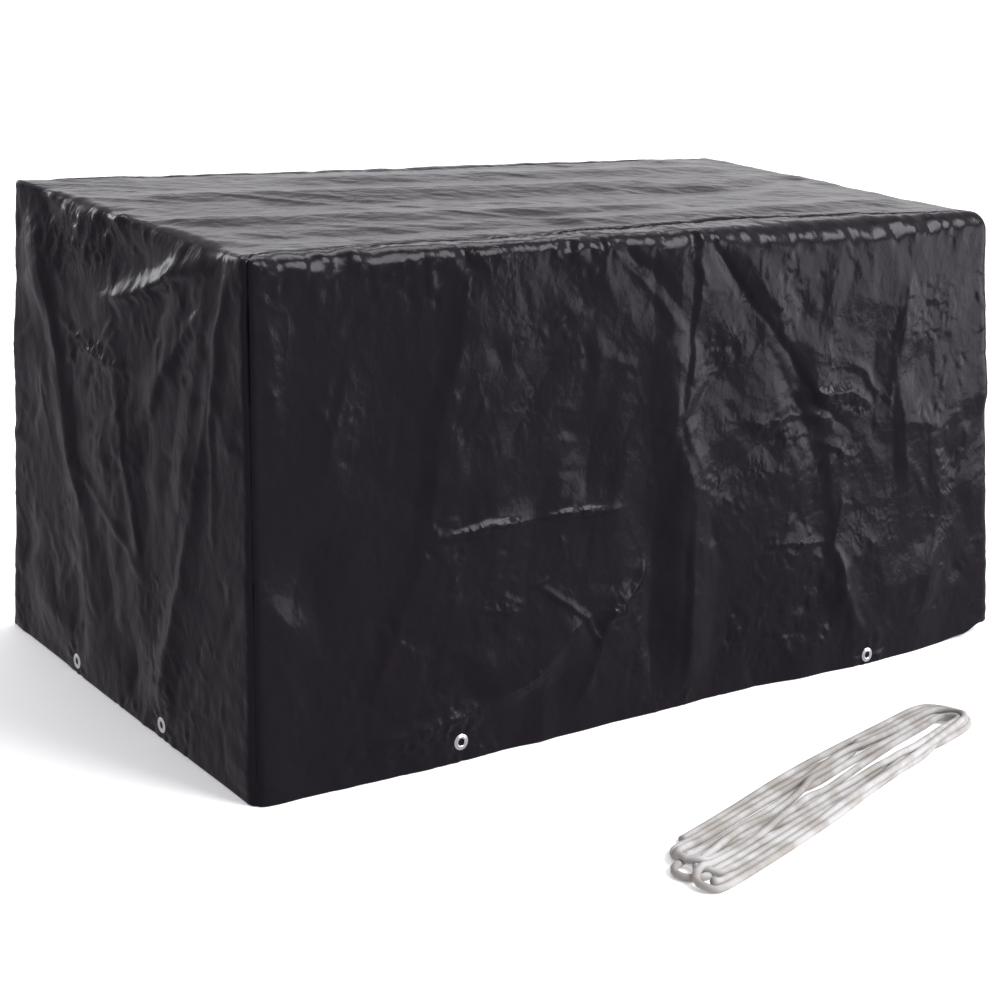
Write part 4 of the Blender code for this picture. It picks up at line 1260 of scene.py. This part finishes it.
def warp(tree, vector, scale, size):
    """A place moved about by soft noise."""
    cloudy = add_node(tree, "ShaderNodeTexNoise", Scale=scale, Detail=2.0)
    tree.links.new(vector, cloudy.inputs["Vector"])
    moved = add_node(tree, "ShaderNodeVectorMath")
    moved.operation = "MULTIPLY_ADD"
    tree.links.new(cloudy.outputs["Color"], moved.inputs[0])
    moved.inputs[1].default_value = (size, size, 0.0)
    tree.links.new(vector, moved.inputs[2])
    return moved.outputs["Vector"]


def calculate(tree, operation, *values):
    node = tree.nodes.new("ShaderNodeMath")
    node.operation = operation
    for socket, value in zip(node.inputs, values):
        if isinstance(value, (int, float)):
            socket.default_value = value
        else:
            tree.links.new(value, socket)
    return node.outputs[0]


def sheet_material(name, settings):
    """Black woven plastic sheet: soft dents and fine sharp creases in a satin gloss."""
    made, tree, shader = new_material(name)
    links = tree.links
    shader.inputs["Base Color"].default_value = (*settings.sheet_colour, 1.0)
    shader.inputs["Specular IOR Level"].default_value = 0.11
    shader.inputs["Specular Tint"].default_value = (0.96, 0.91, 1.0, 1.0)
    cut = tree.nodes.new("ShaderNodeUVMap")
    cut.uv_map = "cut"
    stretched = add_node(tree, "ShaderNodeVectorMath")
    stretched.operation = "MULTIPLY"
    links.new(cut.outputs["UV"], stretched.inputs[0])
    stretched.inputs[1].default_value = (1.0, 0.85, 1.0)
    place = stretched.outputs["Vector"]

    patch = tree.nodes.new("ShaderNodeAttribute")
    patch.attribute_name = "crinkle"
    bent = warp(tree, place, 22.0, 0.022)
    rumpled = calculate(tree, "SMOOTH_MIN", 1.0, calculate(
        tree, "MULTIPLY_ADD", noise(tree, place, 7.0, 2.0), 5.0, -2.8), 0.1)
    amount = calculate(tree, "MAXIMUM", calculate(tree, "MAXIMUM", rumpled, patch.outputs["Fac"]), 0.12)
    dents = bump(tree, noise(tree, place, 30.0, 3.0, roughness=0.6), 0.35, 0.0030)
    broad = bump(tree, facets(tree, bent, 24.0), 0.8, 0.0014, dents)
    small = bump(tree, facets(tree, bent, 62.0), amount, 0.0015, broad)
    fine = calculate(tree, "MULTIPLY_ADD", amount, 0.7, 0.15)
    creases = bump(tree, noise(tree, bent, 75.0, 2.0, "RIDGED_MULTIFRACTAL"), fine, 0.0010, small)
    links.new(creases, shader.inputs["Normal"])

    rough = add_node(tree, "ShaderNodeMapRange", To_Min=settings.sheet_roughness - 0.06,
                     To_Max=settings.sheet_roughness + 0.08)
    links.new(noise(tree, place, 16.0, 3.0), rough.inputs["Value"])
    links.new(rough.outputs["Result"], shader.inputs["Roughness"])
    return made


def metal_material(settings):
    made, tree, shader = new_material("plated eyelet")
    shader.inputs["Base Color"].default_value = (*settings.metal_colour, 1.0)
    shader.inputs["Metallic"].default_value = 1.0
    place = tree.nodes.new("ShaderNodeTexCoord").outputs["Object"]
    grain = add_node(tree, "ShaderNodeTexNoise", Scale=900.0, Detail=3.0)
    tree.links.new(place, grain.inputs["Vector"])
    rough = add_node(tree, "ShaderNodeMapRange", To_Min=0.22, To_Max=0.42)
    tree.links.new(grain.outputs["Fac"], rough.inputs["Value"])
    tree.links.new(rough.outputs["Result"], shader.inputs["Roughness"])
    return made


def rope_material(settings):
    """White braid: its strands cross as a fine diamond pattern that follows the rope."""
    made, tree, shader = new_material("white braid")
    links = tree.links
    shader.inputs["Roughness"].default_value = 0.55
    place = tree.nodes.new("ShaderNodeTexCoord").outputs["Object"]
    shades = tree.nodes.new("ShaderNodeValToRGB")
    shades.color_ramp.elements[0].position = 0.40
    shades.color_ramp.elements[0].color = (*settings.dull_colour, 1.0)
    shades.color_ramp.elements[1].position = 0.60
    shades.color_ramp.elements[1].color = (*settings.colour, 1.0)
    links.new(noise(tree, place, 16.0, 3.0), shades.inputs["Fac"])
    links.new(shades.outputs["Color"], shader.inputs["Base Color"])
    cut = tree.nodes.new("ShaderNodeUVMap")
    cut.uv_map = "cut"
    parts = tree.nodes.new("ShaderNodeSeparateXYZ")
    links.new(cut.outputs["UV"], parts.inputs[0])
    waves = []
    for sign in (1.0, -1.0):
        run = calculate(tree, "MULTIPLY", parts.outputs["X"], STRANDS_PER_METRE)
        turn = calculate(tree, "MULTIPLY_ADD", parts.outputs["Y"], sign * STRANDS_ROUND, run)
        wave = calculate(tree, "SINE", calculate(tree, "MULTIPLY", turn, math.pi))
        waves.append(calculate(tree, "ABSOLUTE", wave))
    both = calculate(tree, "MAXIMUM", *waves)
    links.new(bump(tree, both, 0.8, 0.0010), shader.inputs["Normal"])
    return made


# --- operators ---------------------------------------------------------------------------------------------

def dress(piece, material, slot, *nodes):
    """Gives a finished piece its material, hangs it on the root body and hides the imported parts that it
    stands for.
    """
    piece.data.materials.clear()
    piece.data.materials.append(material)
    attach(piece, "root")
    if nodes:
        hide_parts(*nodes)


class COVER_OT_camera(Operator):
    """Add the camera at the photograph's viewing angle"""
    bl_idname = "cover.camera"
    bl_label = "Camera"

    def execute(self, context):
        data = bpy.data.cameras.new("camera")
        data.lens = LENS_MM
        data.sensor_width = SENSOR_MM
        data.clip_end = 200.0
        camera = link(bpy.data.objects.new("camera", data))
        forward = Vector((math.sin(CAMERA_YAW) * math.cos(CAMERA_PITCH),
                          math.cos(CAMERA_YAW) * math.cos(CAMERA_PITCH), -math.sin(CAMERA_PITCH)))
        level = Vector((math.cos(CAMERA_YAW), -math.sin(CAMERA_YAW), 0.0))
        upright = level.cross(forward)
        right = level * math.cos(CAMERA_ROLL) + upright * math.sin(CAMERA_ROLL)
        up = upright * math.cos(CAMERA_ROLL) - level * math.sin(CAMERA_ROLL)
        turn = Matrix((right, up, -forward)).transposed().to_4x4()
        camera.matrix_world = Matrix.Translation(CAMERA_PLACE) @ turn
        context.scene.camera = camera
        return {"FINISHED"}


class COVER_OT_rope(Operator):
    """Add the coiled tie rope"""
    bl_idname = "cover.rope"
    bl_label = "Tie rope"

    def execute(self, context):
        settings = context.scene.cover_rope
        piece, line, length = make_rope(settings)
        dress(piece, rope_material(settings), "rope", "rope_hank")
        return {"FINISHED"}


class COVER_OT_cloth(Operator):
    """Add the panels, the hems and their eyelets"""
    bl_idname = "cover.cloth"
    bl_label = "Panels, hems and eyelets"

    def execute(self, context):
        settings = context.scene.cover_cloth
        creases = small_creases()
        sheet = sheet_material("black woven sheet", settings)
        for side in ("front", "back"):
            panel, hem, flat = make_wall_panel(side, settings, creases)
            dress(hem, sheet, "hem", f"hem_{side}")
            dress(panel, sheet, "sheet", f"{side}_panel")
        panel, hems, flat = make_centre_panel(settings, creases)
        for side, hem in zip(("left", "right"), hems):
            dress(hem, sheet, "hem", f"hem_{side}")
        dress(panel, sheet, "sheet", "centre_panel")
        metal = metal_material(settings)
        for name, eyelet in EYELETS.items():
            dress(make_eyelet(f"{name}_ring", eyelet), metal, "eyelet", name)
        return {"FINISHED"}


class COVER_OT_stage(Operator):
    """Add the pale floor, the even light and the soft lights"""
    bl_idname = "cover.stage"
    bl_label = "Stage"

    def execute(self, context):
        settings = context.scene.cover_studio
        disc = bmesh.new()
        bmesh.ops.create_circle(disc, cap_ends=True, segments=96, radius=settings.floor_radius)
        mesh = bpy.data.meshes.new("floor")
        disc.to_mesh(mesh)
        disc.free()
        floor = link(bpy.data.objects.new("floor", mesh))
        made, _, shader = new_material("pale floor")
        shader.inputs["Base Color"].default_value = (*settings.floor_colour, 1.0)
        shader.inputs["Roughness"].default_value = 0.9
        shader.inputs["Specular IOR Level"].default_value = 0.1
        shader.inputs["Emission Color"].default_value = (1.0, 1.0, 1.0, 1.0)
        shader.inputs["Emission Strength"].default_value = settings.floor_glow
        mesh.materials.append(made)
        floor.visible_glossy = False
        world = bpy.data.worlds.new("even light")
        world.use_nodes = True
        background = world.node_tree.nodes["Background"]
        background.inputs["Color"].default_value = (1.0, 0.96, 1.03, 1.0)
        background.inputs["Strength"].default_value = settings.sky_strength
        context.scene.world = world
        key = add_light("key", "SUN", KEY_PLACE, (0.0, 0.0, 0.0), settings.key_strength)
        key.data.angle = settings.key_angle
        for light in SOFT_LIGHTS:
            lamp = add_light(light.name, "AREA", light.place, light.aim, getattr(settings, light.power))
            lamp.data.shape = "RECTANGLE"
            lamp.data.size, lamp.data.size_y = light.width, light.height
            lamp.visible_camera = False
        context.scene.view_settings.view_transform = "Standard"
        return {"FINISHED"}


def add_light(name, kind, place, aim, power):
    data = bpy.data.lights.new(name, kind)
    data.energy = power
    lamp = link(bpy.data.objects.new(name, data))
    lamp.location = place
    lamp.rotation_euler = (Vector(place) - Vector(aim)).to_track_quat("Z", "Y").to_euler()
    return lamp


class COVER_PT_panel(Panel):
    """Makes the cover and shows its settings"""
    bl_label = "Patio furniture cover"
    bl_idname = "COVER_PT_panel"
    bl_space_type = "VIEW_3D"
    bl_region_type = "UI"
    bl_category = "Cover"

    def draw(self, context):
        layout = self.layout
        for operator in OPERATORS:
            layout.operator(operator.bl_idname)
        for settings in (context.scene.cover_cloth, context.scene.cover_rope, context.scene.cover_studio):
            box = layout.box()
            for name in settings.__annotations__:
                box.prop(settings, name)


SETTINGS = {"cover_cloth": CoverSettings, "cover_rope": RopeSettings, "cover_studio": StudioSettings}
OPERATORS = (COVER_OT_camera, COVER_OT_rope, COVER_OT_cloth, COVER_OT_stage)


def register():
    for made in (*SETTINGS.values(), *OPERATORS, COVER_PT_panel):
        bpy.utils.register_class(made)
    for name, made in SETTINGS.items():
        setattr(bpy.types.Scene, name, PointerProperty(type=made))


def unregister():
    for name in SETTINGS:
        delattr(bpy.types.Scene, name)
    for made in reversed((*SETTINGS.values(), *OPERATORS, COVER_PT_panel)):
        bpy.utils.unregister_class(made)


def main():
    register()
    bpy.ops.cover.camera()
    bpy.ops.cover.rope()
    bpy.ops.cover.cloth()
    bpy.ops.cover.stage()


if __name__ == "__main__":
    main()
